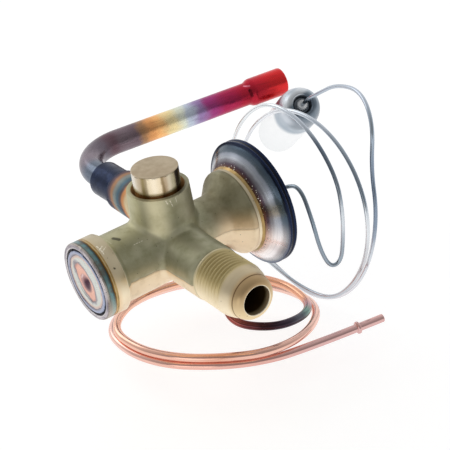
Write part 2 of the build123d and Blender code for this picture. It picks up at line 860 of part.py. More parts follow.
with BuildPart() as sleeve_braze_ring:
    revolve(
        section(
            OUTLET,
            [
                (SLEEVE_END, TUBE_R),
                (SLEEVE_END, SLEEVE_R - OUTLET_BRAZE_WIDTH / 2),
                (SLEEVE_END + OUTLET_BRAZE_WIDTH, TUBE_R),
            ],
        ),
        axis=axis_of(OUTLET),
    )
sleeve_braze_ring.part.label = "sleeve_braze_ring"
export_step(sleeve_braze_ring.part, "parts/sleeve_braze_ring.step")

run_direction = Vector(sin(radians(TUBE_BEND)), cos(radians(TUBE_BEND)), 0)
tube_corner = OUTLET_FOOT + Vector(0, TUBE_CORNER, 0)
belled_start = TUBE_RUN - BELLED_LENGTH
RUN = Plane(origin=tube_corner, x_dir=run_direction, z_dir=(0, 0, 1))

with BuildPart() as outlet_tube:
    with BuildLine() as tube_path:
        FilletPolyline(
            OUTLET_FOOT + Vector(0, tube_start, 0),
            tube_corner,
            tube_corner + run_direction * belled_start,
            radius=TUBE_BEND_R,
        )
    with BuildSketch(Plane(origin=tube_path.line @ 0, z_dir=tube_path.line % 0)):
        Circle(TUBE_R)
        Circle(TUBE_R - TUBE_WALL, mode=Mode.SUBTRACT)
    sweep(path=tube_path.line)
    revolve(
        section(
            RUN,
            [
                (belled_start, TUBE_R - TUBE_WALL),
                (belled_start, TUBE_R),
                (belled_start + BELLED_CONE, BELLED_R),
                (TUBE_RUN, BELLED_R),
                (TUBE_RUN, BELLED_R - TUBE_WALL),
                (belled_start + BELLED_CONE, BELLED_R - TUBE_WALL),
            ],
        ),
        axis=axis_of(RUN),
    )
outlet_tube.part.label = "outlet_tube"
export_step(outlet_tube.part, "parts/outlet_tube.step")

# Equalizer nipple, its braze and the coiled equalizer tube
with BuildPart() as equalizer_nipple:
    revolve(
        section(
            NIPPLE,
            [
                (NIPPLE_SEAT, PORT_R),
                (NIPPLE_SEAT, NIPPLE_R),
                (NIPPLE_END, NIPPLE_R),
                (NIPPLE_END, EQUALIZER_R + SEAT_CLEARANCE),
                (NIPPLE_TUBE_STOP, EQUALIZER_R + SEAT_CLEARANCE),
                (NIPPLE_TUBE_STOP, PORT_R),
            ],
        ),
        axis=axis_of(NIPPLE),
    )
equalizer_nipple.part.label = "equalizer_nipple"
export_step(equalizer_nipple.part, "parts/equalizer_nipple.step")

with BuildPart() as equalizer_braze_ring:
    revolve(
        section(
            NIPPLE,
            [
                (NIPPLE_END, EQUALIZER_R),
                (NIPPLE_END, NIPPLE_R - EQUALIZER_WALL / 2),
                (NIPPLE_END + EQUALIZER_WALL, EQUALIZER_R),
            ],
        ),
        axis=axis_of(NIPPLE),
    )
equalizer_braze_ring.part.label = "equalizer_braze_ring"
export_step(equalizer_braze_ring.part, "parts/equalizer_braze_ring.step")

# Two loose turns under the body, then a straight run out to the bead and the open end
equalizer_route = [
    CENTRE + Vector(EQUALIZER_STATION, 0, -NIPPLE_TUBE_STOP),
    CENTRE + Vector(EQUALIZER_STATION, 0, -27 * ROUTE_LENGTH),
] + [
    CENTRE + Vector(x, y, z) * ROUTE_LENGTH
    for x, y, z in [
        (16, -4.5, -41),
        (28, -20.5, -42),
        (46.5, -19.5, -43.5),
        (51, -0.5, -44),
        (45.5, 16, -44),
        (34, 29, -44.5),
        (18.5, 37.5, -44.5),
        (1, 39.5, -44.5),
        (-14.5, 30, -45),
        (-14.5, 11.5, -45),
        (-7, -4, -45),
        (5, -16.5, -45),
        (19.5, -26.5, -45),
        (37.5, -26.5, -46),
        (52, -15.5, -47),
        (52, 2.5, -47.5),
        (44.5, 18, -47.5),
        (34.5, 32, -48),
        (19.5, 41.5, -48),
        (2, 43.5, -48),
        (-14, 35, -48.5),
        (-16, 17, -48.5),
        (-10.5, 0.5, -48.5),
        (1, -13, -48.5),
        (15, -23, -49),
        (31, -29.5, -49),
        (65.5, -36, -49),
    ]
]
equalizer_bends = bend_radii(equalizer_route)

with BuildPart() as equalizer_tube:
    with BuildLine() as equalizer_path:
        FilletPolyline(*equalizer_route, radius=equalizer_bends)
    with BuildSketch(Plane(origin=equalizer_path.line @ 0, z_dir=equalizer_path.line % 0)):
        Circle(EQUALIZER_R)
        Circle(EQUALIZER_R - EQUALIZER_WALL, mode=Mode.SUBTRACT)
    sweep(path=equalizer_path.line)
    END = Plane(origin=equalizer_path.line @ 1, x_dir=-(equalizer_path.line % 1), z_dir=(0, 0, 1))
    revolve(
        section(
            END,
            [
                (BEAD_FROM_END - BEAD_WIDTH / 2, EQUALIZER_R - EQUALIZER_WALL / 2),
                (BEAD_FROM_END - BEAD_WIDTH / 2, EQUALIZER_R),
                (BEAD_FROM_END - BEAD_WIDTH / 4, BEAD_R),
                (BEAD_FROM_END + BEAD_WIDTH / 4, BEAD_R),
                (BEAD_FROM_END + BEAD_WIDTH / 2, EQUALIZER_R),
                (BEAD_FROM_END + BEAD_WIDTH / 2, EQUALIZER_R - EQUALIZER_WALL / 2),
            ],
        ),
        axis=axis_of(END),
    )
equalizer_tube.part.label = "equalizer_tube"
export_step(equalizer_tube.part, "parts/equalizer_tube.step")

# Capillary: out of the ferrule, a tight hook, three loose standing loops, into the bulb
bulb_axis = BULB_DIRECTION.normalized()
capillary_route = [
    CENTRE + Vector(COVER_DOME, 0, 0),
    CENTRE + Vector(53.8, 0, 0) * ROUTE_LENGTH,
] + [
    CENTRE + Vector(x, y, z) * ROUTE_LENGTH
    for x, y, z in [
        (54, -8.5, 2.5),
        (53.7, -14, -9),
        (54, -17, -22),
        (56, -19.5, -29),
        (60, -21, -27.5),
        (61, -22, -18.5),
        (62, -22, -6.5),
        (63.5, -18.5, 5),
        (64.5, -8.5, 16),
        (65.5, 5.5, 23),
        (65.5, 22, 23.5),
        (64.5, 36, 14.5),
        (62.5, 45, 1),
        (61, 49, -14.5),
        (59.5, 47, -31),
        (58.5, 36.5, -44),
        (58.5, 20.5, -48),
        (59.5, 4.5, -51.5),
        (61.5, -11.5, -50.5),
        (64, -23, -38.5),
        (66.5, -29, -23.5),
        (68.5, -28.5, -7),
        (70.5, -20.5, 7),
        (72, -7, 16.5),
        (72, 8.5, 20.5),
        (71.5, 24.5, 17.5),
        (70, 38, 8),
        (68, 47, -5.5),
        (66.5, 51, -21.5),
        (65, 48.5, -38),
        (63.5, 36.5, -49),
        (63.5, 21.5, -54.5),
        (64.5, 5.5, -58.5),
        (66.5, -10, -53),
        (68.5, -21, -41),
        (71, -26.5, -26),
        (74, -27, -10),
        (77.5, -21.5, 5),
        (80.5, -21, 22),
        (87, -8, 29),
        (89, 8.5, 26),
        (91, 22.5, 17.5),
    ]
] + [BULB_FRONT - bulb_axis * BULB_LEAD, BULB_FRONT + bulb_axis * BULB_NIPPLE_END]
capillary_bends = bend_radii(capillary_route)

with BuildPart() as capillary_tube:
    with BuildLine() as capillary_path:
        FilletPolyline(*capillary_route, radius=capillary_bends)
    with BuildSketch(Plane(origin=capillary_path.line @ 0, z_dir=capillary_path.line % 0)):
        Circle(CAPILLARY_R)
    sweep(path=capillary_path.line)
capillary_tube.part.label = "capillary_tube"
export_step(capillary_tube.part, "parts/capillary_tube.step")

# Sensing bulb: sealed, with a crowned front end dished round its nipple
with BuildPart() as bulb:
    with BuildSketch(BULB):
        with BuildLine():
            Polyline(
                (BULB_RECESS, BULB_RECESS_R),
                (BULB_RECESS, 0),
                (BULB_LENGTH, 0),
                (BULB_LENGTH, BULB_RECESS_R),
            )
            Spline(
                (BULB_LENGTH, BULB_RECESS_R),
                (BULB_LENGTH - BULB_SHOULDER, BULB_R),
                tangents=[(0, 1), (-1, 0)],
            )
            Line((BULB_LENGTH - BULB_SHOULDER, BULB_R), (BULB_NOSE, BULB_R))
            Spline(
                (BULB_NOSE, BULB_R),
                (0, BULB_CROWN_R),
                (BULB_RECESS, BULB_RECESS_R),
                tangents=[(-1, 0), (1, 0)],
            )
        make_face()
    revolve(axis=axis_of(BULB))
bulb.part.label = "bulb"
export_step(bulb.part, "parts/bulb.step")

with BuildPart() as bulb_nipple:
    revolve(
        section(
            BULB,
            [
                (BULB_RECESS, 0),
                (BULB_RECESS, BULB_NIPPLE_R),
                (BULB_NIPPLE_END, BULB_NIPPLE_R),
                (BULB_NIPPLE_FACE, BULB_NIPPLE_R - BULB_NIPPLE_FACE),
                (BULB_NIPPLE_FACE, CAPILLARY_R + SEAT_CLEARANCE),
                (BULB_NIPPLE_END + SEAT_CLEARANCE, CAPILLARY_R + SEAT_CLEARANCE),
                (BULB_NIPPLE_END + SEAT_CLEARANCE, 0),
            ],
        ),
        axis=axis_of(BULB),
    )
bulb_nipple.part.label = "bulb_nipple"
export_step(bulb_nipple.part, "parts/bulb_nipple.step")
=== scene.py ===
"""Looks for a thermostatic expansion valve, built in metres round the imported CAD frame."""
import logging
from dataclasses import dataclass
from enum import Enum
from functools import reduce
from math import cos, pi, radians, sin, sqrt, tan

import bmesh
import bpy
import numpy as np
from mathutils import Matrix, Vector


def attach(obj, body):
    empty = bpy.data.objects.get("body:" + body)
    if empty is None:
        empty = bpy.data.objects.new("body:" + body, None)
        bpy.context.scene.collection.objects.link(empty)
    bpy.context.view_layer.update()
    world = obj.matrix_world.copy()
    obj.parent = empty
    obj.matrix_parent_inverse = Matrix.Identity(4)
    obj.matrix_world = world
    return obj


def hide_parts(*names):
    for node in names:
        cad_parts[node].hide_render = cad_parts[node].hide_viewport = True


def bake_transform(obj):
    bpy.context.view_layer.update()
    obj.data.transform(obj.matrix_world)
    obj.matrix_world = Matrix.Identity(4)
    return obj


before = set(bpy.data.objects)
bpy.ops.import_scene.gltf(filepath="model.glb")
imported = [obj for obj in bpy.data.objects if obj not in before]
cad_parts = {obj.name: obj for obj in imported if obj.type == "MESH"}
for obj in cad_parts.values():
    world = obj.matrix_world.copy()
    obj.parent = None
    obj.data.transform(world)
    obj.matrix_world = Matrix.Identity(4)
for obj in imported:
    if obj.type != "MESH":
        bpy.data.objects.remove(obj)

LOG = logging.getLogger("valve")
BODY = "valve"
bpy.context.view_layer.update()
# A millimetre in metres, and the barrel's centre in the frame in mm
MM = 0.001
CENTRE = np.array([0.0, 52.0, 0.0])
# The height of a direction from which it is too steep for an upright helper
STEEP = 0.9
# The largest share of a profile's side that one rounded corner takes
HALF_SIDE = 0.49
# A square's corners, for the floor
SQUARE = ((-1, -1), (1, -1), (1, 1), (-1, 1))
Piece = bpy.types.Object
Material = bpy.types.Material
Socket = bpy.types.NodeSocket
Point = tuple[float, float, float]
Profile = list[Point]
Stops = tuple[tuple[float, str], ...]


def tone(code: str) -> Point:
    """The linear colour of a six-digit hex code, by the sRGB curve."""
    values = [int(code[i : i + 2], 16) / 255 for i in (0, 2, 4)]
    return tuple(v / 12.92 if v <= 0.04045 else ((v + 0.055) / 1.055) ** 2.4 for v in values)


def plain(values: np.ndarray) -> tuple[float, ...]:
    """An array's numbers as a plain tuple, as sockets take them."""
    return tuple(float(value) for value in values)


def square_to(along: np.ndarray) -> np.ndarray:
    """A direction square to another, from a helper that isn't close to it."""
    helper = np.array([0.0, 0.0, 1.0]) if abs(along[2]) < STEEP else np.array([1.0, 0.0, 0.0])
    return np.cross(helper, along)


def reach_along(line: np.ndarray) -> np.ndarray:
    """Each point's distance along a line, as the running sum of its steps."""
    return np.concatenate([[0], np.cumsum(np.linalg.norm(np.diff(line, axis=0), axis=1))])


def sampled(stations: np.ndarray, reach: np.ndarray, values: np.ndarray) -> np.ndarray:
    """Rows of three values that run along a reach, read at other stations of it."""
    return np.stack([np.interp(stations, reach, values[:, axis]) for axis in range(3)], 1)


def circle(count: int) -> np.ndarray:
    """Even angles once round, without the last."""
    return np.linspace(0, 2 * pi, count, endpoint=False)


def linked(name: str, data: bpy.types.ID | None) -> Piece:
    """A new object in the scene's collection."""
    made = bpy.data.objects.new(name, data)
    bpy.context.scene.collection.objects.link(made)
    return made


@dataclass(frozen=True)
class Turning:
    """A straight axis that round pieces are turned about.

    Attributes:
        origin: A point of the axis from the barrel's centre, in mm, where the station is 0.
        along: The direction in which stations grow.
    """

    origin: Point
    along: Point

    def basis(self) -> tuple[np.ndarray, np.ndarray, np.ndarray]:
        """The axis direction and two directions square to it."""
        along = np.array(self.along) / np.linalg.norm(self.along)
        side = square_to(along)
        side /= np.linalg.norm(side)
        return along, side, np.cross(along, side)

    def start(self) -> np.ndarray:
        """The origin in the frame, in mm."""
        return CENTRE + np.array(self.origin)


BARREL = Turning((0, 0, 0), (1, 0, 0))
BOSS = Turning((0, 0, 0), (0, 0, 1))
INLET = Turning((0, 0, 0), (0, -1, 0))
OUTLET = Turning((10.1, 0, 0), (0, 1, 0))
BULB = Turning((95.3, 39.2, 6.0), (0.27, 0.75, -0.60))


def soften(profile: Profile, steps: int) -> np.ndarray:
    """Rounds the corners of a turned profile, over less than half of each side.

    Args:
        profile: Corners as (station, radius, rounding) in mm; a rounding of 0 stays sharp.
        steps: The number of points on each rounded corner.

    Returns:
        The profile's points as rows of station and radius.
    """
    points: list[np.ndarray] = []
    last = len(profile) - 1
    for index, (station, radius, rounding) in enumerate(profile):
        corner = np.array([station, radius])
        if rounding <= 0 or index in (0, last):
            points.append(corner)
            continue
        sides = [np.array(profile[index + way][:2]) - corner for way in (-1, 1)]
        lengths = [np.linalg.norm(side) for side in sides]
        reach = min(rounding, HALF_SIDE * min(lengths))
        first, second = (corner + side / length * reach for side, length in zip(sides, lengths))
        for share in np.linspace(0, 1, steps):
            near = first * (1 - share) + corner * share
            far = corner * (1 - share) + second * share
            points.append(near * (1 - share) + far * share)
    return np.array(points)


def revolved(
    name: str, axis: Turning, stations: np.ndarray, radii: np.ndarray, count: int, closed: bool
) -> Piece:
    """Makes a round mesh object: each point is start + station * along + radius * spoke.

    Args:
        name: The object's name.
        axis: The axis to turn about.
        stations: The rows' stations, in mm.
        radii: Radii in mm, rows by one column or by one for each spoke.
        count: The number of spokes, at even angles about the axis.
        closed: Whether the last row joins the first.

    Returns:
        The new object, at the origin, with its place in its mesh.
    """
    along, side, up = axis.basis()
    angles = circle(count)[:, None]
    spokes = np.cos(angles) * side + np.sin(angles) * up
    grid = axis.start() + stations[:, None, None] * along + radii[:, :, None] * spokes
    return lattice(name, grid, closed, True)


def turned(name: str, axis: Turning, profile: Profile, closed: bool, count: int, steps: int = 5) -> Piece:
    """Turns a profile with softened corners about an axis.

    Args:
        name: The object's name.
        axis: The axis to turn about.
        profile: Corners as (station, radius, rounding) in mm.
        closed: Whether the last point joins the first.
        count: The number of steps round the axis.
        steps: The number of points on each rounded corner.

    Returns:
        The new object.
    """
    outline = soften(profile, steps)
    return revolved(name, axis, outline[:, 0], outline[:, 1:], count, closed)


def lattice(name: str, grid: np.ndarray, close_rows: bool, close_columns: bool) -> Piece:
    """Makes a mesh object of quads from a grid of points in mm.

    Args:
        name: The object's name.
        grid: Points, rows by columns by 3.
        close_rows: Whether the last row joins the first.
        close_columns: Whether the last column joins the first.

    Returns:
        The new object, shaded smooth.
    """
    rows, columns = grid.shape[:2]
    row = np.arange(rows if close_rows else rows - 1)
    column = np.arange(columns if close_columns else columns - 1)
    a, b = np.meshgrid(row, column, indexing="ij")
    a_next, b_next = (a + 1) % rows, (b + 1) % columns
    quads = np.stack(
        [a * columns + b, a * columns + b_next, a_next * columns + b_next, a_next * columns + b], -1
    ).reshape(-1, 4)
    mesh = bpy.data.meshes.new(name)
    mesh.from_pydata(grid.reshape(-1, 3) * MM, [], quads.tolist())
    mesh.update()
    mesh.shade_smooth()
    return linked(name, mesh)


def tidy_mesh(piece: Piece, angle: float) -> None:
    """Welds a mesh, turns its faces outward and keeps edges sharp past an angle.

    Args:
        piece: The mesh object.
        angle: The largest angle in degrees that is shaded smooth.
    """
    work = bmesh.new()
    work.from_mesh(piece.data)
    bmesh.ops.remove_doubles(work, verts=work.verts, dist=1e-7)
    bmesh.ops.dissolve_degenerate(work, dist=1e-8, edges=work.edges)
    bmesh.ops.recalc_face_normals(work, faces=work.faces)
    work.to_mesh(piece.data)
    work.free()
    piece.data.shade_smooth()
    piece.data.set_sharp_from_angle(angle=radians(angle))


def joined(name: str, pieces: list[Piece]) -> Piece:
    """Joins mesh objects into the first, which takes the name."""
    with bpy.context.temp_override(active_object=pieces[0], selected_editable_objects=pieces):
        bpy.ops.object.join()
    pieces[0].name = name
    pieces[0].data.name = name
    return pieces[0]


def paint(piece: Piece, finish: Material) -> None:
    """Gives a piece or a CAD node its only material."""
    piece.data.materials.clear()
    piece.data.materials.append(finish)


def dress(piece: Piece, finish: Material, slot: str, *nodes: str, angle: float = 38.0) -> None:
    """Tidies a piece, gives it its finish and its body, and hides the CAD nodes that it stands for.

    Args:
        piece: The finished mesh object.
        finish: Its material.
        slot: A material slot's name, which is not used.
        nodes: The CAD nodes that it replaces.
        angle: The largest angle in degrees that is shaded smooth.
    """
    tidy_mesh(piece, angle)
    paint(piece, finish)
    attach(piece, BODY)
    if nodes:
        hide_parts(*nodes)
    LOG.info("%s: %d faces", piece.name, len(piece.data.polygons))


class Tree:
    """A node tree, with a short call for each kind of node that it needs."""

    def __init__(self, tree: bpy.types.NodeTree) -> None:
        """Empties the tree."""
        self.tree = tree
        tree.nodes.clear()

    def put(self, socket: Socket, value: object) -> None:
        """Links a socket to another or to a node's first output, or sets it; None leaves it alone."""
        if isinstance(value, bpy.types.Node):
            value = value.outputs[0]
        if isinstance(value, Socket):
            self.tree.links.new(value, socket)
        elif isinstance(value, tuple) and socket.type == "RGBA":
            socket.default_value = (*value, 1.0)
        elif value is not None:
            socket.default_value = value

    def node(self, kind: str, *values: object, **settings: object) -> bpy.types.Node:
        """A node with its settings by name and its first inputs in order."""
        node = self.tree.nodes.new("ShaderNode" + kind)
        for name, value in settings.items():
            setattr(node, name, value)
        for socket, value in zip(node.inputs, values):
            self.put(socket, value)
        return node

    def split(self, vector: object) -> list[Socket]:
        """The three parts of a vector."""
        return list(self.node("SeparateXYZ", vector).outputs)

    def join(self, x: object, y: object, z: object) -> Socket:
        """A vector from three parts."""
        return self.node("CombineXYZ", x, y, z).outputs[0]

    def vector(self, kind: str, a: object, b: object = None) -> Socket:
        """A vector operation; its value output for a length, dot product or distance."""
        number = kind in ("DOT_PRODUCT", "LENGTH", "DISTANCE")
        return self.node("VectorMath", a, b, operation=kind).outputs["Value" if number else "Vector"]

    def length(self, x: object, y: object, z: object) -> Socket:
        """The length of a vector of three parts."""
        return self.vector("LENGTH", self.join(x, y, z))

    def math(self, kind: str, a: object, b: object = 0.0, c: object = 0.0) -> Socket:
        """A number operation."""
        return self.node("Math", a, b, c, operation=kind).outputs[0]

    def times(self, *parts: object) -> object:
        """The product of all parts: each a value, or a tuple of the arguments of a fade."""
        values = [self.fade(*part) if isinstance(part, tuple) else part for part in parts]
        return reduce(lambda a, b: self.math("MULTIPLY", a, b), values)

    def plus(self, *values: object) -> object:
        """The sum of all values."""
        return reduce(lambda a, b: self.math("ADD", a, b), values)

    def most(self, *values: object) -> object:
        """The largest of all values."""
        return reduce(lambda a, b: self.math("MAXIMUM", a, b), values)

    def fade(self, value: object, low: float, high: float, start: float = 0.0, end: float = 1.0) -> Socket:
        """A smooth change from start to end as a value goes from low to high."""
        return self.node("MapRange", value, low, high, start, end, interpolation_type="SMOOTHSTEP").outputs[0]

    def near(self, value: object, middle: float, outer: float, inner: float) -> Socket:
        """1 within inner of a middle value and 0 beyond outer, with a smooth change between them."""
        return self.fade(self.math("ABSOLUTE", self.math("ADD", value, -middle)), outer, inner)


class Graph(Tree):
    """A material's node tree round a Principled shader.

    Attributes:
        material: The material.
        shader: Its Principled shader.
        place: The point that is shaded, in mm from the barrel's centre.
    """

    def __init__(self, name: str) -> None:
        """Starts a material with an output and a Principled shader."""
        self.material = bpy.data.materials.new(name)
        self.material.use_nodes = True
        super().__init__(self.material.node_tree)
        self.shader = self.node("BsdfPrincipled")
        self.node("OutputMaterial", self.shader)
        metres = self.node("TexCoord").outputs["Object"]
        scale = (1 / MM,) * 3
        scaled = self.node("VectorMath", metres, scale, plain(-CENTRE), operation="MULTIPLY_ADD")
        self.place = scaled.outputs[0]

    def attribute(self, name: str) -> Socket:
        """A vector attribute of the mesh."""
        return self.node("Attribute", attribute_name=name).outputs["Vector"]

    def noise(self, scale: float, detail: float = 3.0, rough: float = 0.55, at: object = None) -> Socket:
        """Noise of a scale in turns per mm of the place, or per unit of another vector."""
        node = self.node("TexNoise", at or self.place)
        for name, value in (("Scale", scale), ("Detail", detail), ("Roughness", rough)):
            self.put(node.inputs[name], value)
        return node.outputs[0]

    def cells(self, scale: float) -> Socket:
        """The distance to the nearest of scattered points, in their spacing, which is 1 / scale mm."""
        node = self.node("TexVoronoi", self.place)
        self.put(node.inputs["Scale"], scale)
        return node.outputs["Distance"]

    def bands(self, value: object, low: float, high: float, stops: Stops) -> Socket:
        """Colours along a value.

        Args:
            value: The number that runs along the bands.
            low: Its value at the first end.
            high: Its value at the other end.
            stops: Each colour's value between low and high, and its hex code.

        Returns:
            The colour socket.
        """
        node = self.node("ValToRGB", self.node("MapRange", value, low, high, 0.0, 1.0))
        ramp = node.color_ramp
        ramp.interpolation = "EASE"
        while len(ramp.elements) < len(stops):
            ramp.elements.new(0.5)
        for element, (position, _) in zip(ramp.elements, stops):
            element.position = min(max((position - low) / (high - low), 0), 1)
        for element, (_, code) in zip(ramp.elements, stops):
            element.color = (*tone(code), 1)
        return node.outputs[0]

    def blend(self, under: object, over: object, *parts: object) -> Socket:
        """Lays one colour over another by the product of parts.

        Args:
            under: The lower colour: a socket, linear values or a hex code.
            over: The upper colour, given in the same ways.
            *parts: Values, or tuples of the arguments of fades.

        Returns:
            The mixed colour's socket.
        """
        node = self.node("Mix", self.times(*parts), data_type="RGBA", clamp_factor=True)
        for socket, colour in zip(node.inputs[6:8], (under, over)):
            self.put(socket, tone(colour) if isinstance(colour, str) else colour)
        return node.outputs[2]

    def layers(self, under: object, *rows: tuple) -> Socket:
        """Lays colours over another in turn; a row is a colour and the parts of its share."""
        return reduce(lambda colour, row: self.blend(colour, *row), rows, under)

    def mark(self, first: Point, last: Point, width: float) -> Socket:
        """A soft mark of a width in mm along the short line between two points.

        The share along the line is the dot product of the point's offset with the line over its length
        squared, kept between 0 and 1; the mark fades with the distance from the point at that share.
        """
        span = np.array(last) - np.array(first)
        offset = self.vector("SUBTRACT", self.place, first)
        share = self.vector("DOT_PRODUCT", offset, plain(span / (span @ span)))
        share = self.math("MINIMUM", self.math("MAXIMUM", share, 0.0), 1.0)
        node = self.node("VectorMath", plain(span), operation="SCALE")
        self.put(node.inputs["Scale"], share)
        return self.fade(self.vector("DISTANCE", offset, node), width * 0.5, width * 0.2)

    def marks(self, *rows: tuple[Point, Point, float]) -> object:
        """The strongest of several marks, each given by its two points and its width."""
        return self.most(*(self.mark(*row) for row in rows))

    def rings(self, radius: object, scale: float, detail: float, rough: float = 0.55) -> Socket:
        """Noise that changes only with a radius, as turning leaves it."""
        return self.noise(1.0, detail, rough, self.join(self.times(radius, scale), 0.0, 0.0))

    def bump(self, height: object, depth: float) -> Socket:
        """A bump whose height of 1 stands a depth in mm proud."""
        node = self.node("Bump")
        for name, value in (("Strength", 1.0), ("Distance", depth * MM), ("Height", height)):
            self.put(node.inputs[name], value)
        return node.outputs[0]

    def finish(
        self, colour: object, metallic: float, rough: object, height: object, depth: float
    ) -> Material:
        """Sets the Principled shader.

        Args:
            colour: The base colour.
            metallic: How far it is metal.
            rough: The roughness, or a tuple of the arguments of its fade.
            height: The height of its bump.
            depth: How far in mm a height of 1 stands proud.

        Returns:
            The material.
        """
        bump = self.bump(height, depth)
        values = {"Base Color": colour, "Metallic": metallic, "Roughness": self.times(rough), "Normal": bump}
        for name, value in values.items():
            self.put(self.shader.inputs[name], value)
        return self.material


@dataclass(frozen=True)
class PlainMetal:
    """A turned or drawn metal with fine marks and uneven gloss.

    Attributes:
        name: The material's name.
        colour: Its hex code.
        metallic: How far it is metal.
        roughness: Its middle roughness.
        grain: The scale of its marks, in turns per mm.
        shade: How bright its darker patches are beside the rest.
    """

    name: str
    colour: str
    metallic: float = 1.0
    roughness: float = 0.3
    grain: float = 2.0
    shade: float = 0.72

    def make(self) -> Material:
        """Builds the material."""
        graph = Graph(self.name)
        broad = graph.noise(0.3, 4)
        fine = graph.noise(self.grain, 2)
        dark = tuple(value * self.shade for value in tone(self.colour))
        colour = graph.blend(self.colour, dark, (broad, 0.35, 0.7))
        rough = (broad, 0.3, 0.7, self.roughness * 0.8, self.roughness * 1.3)
        return graph.finish(colour, self.metallic, rough, fine, 0.004)


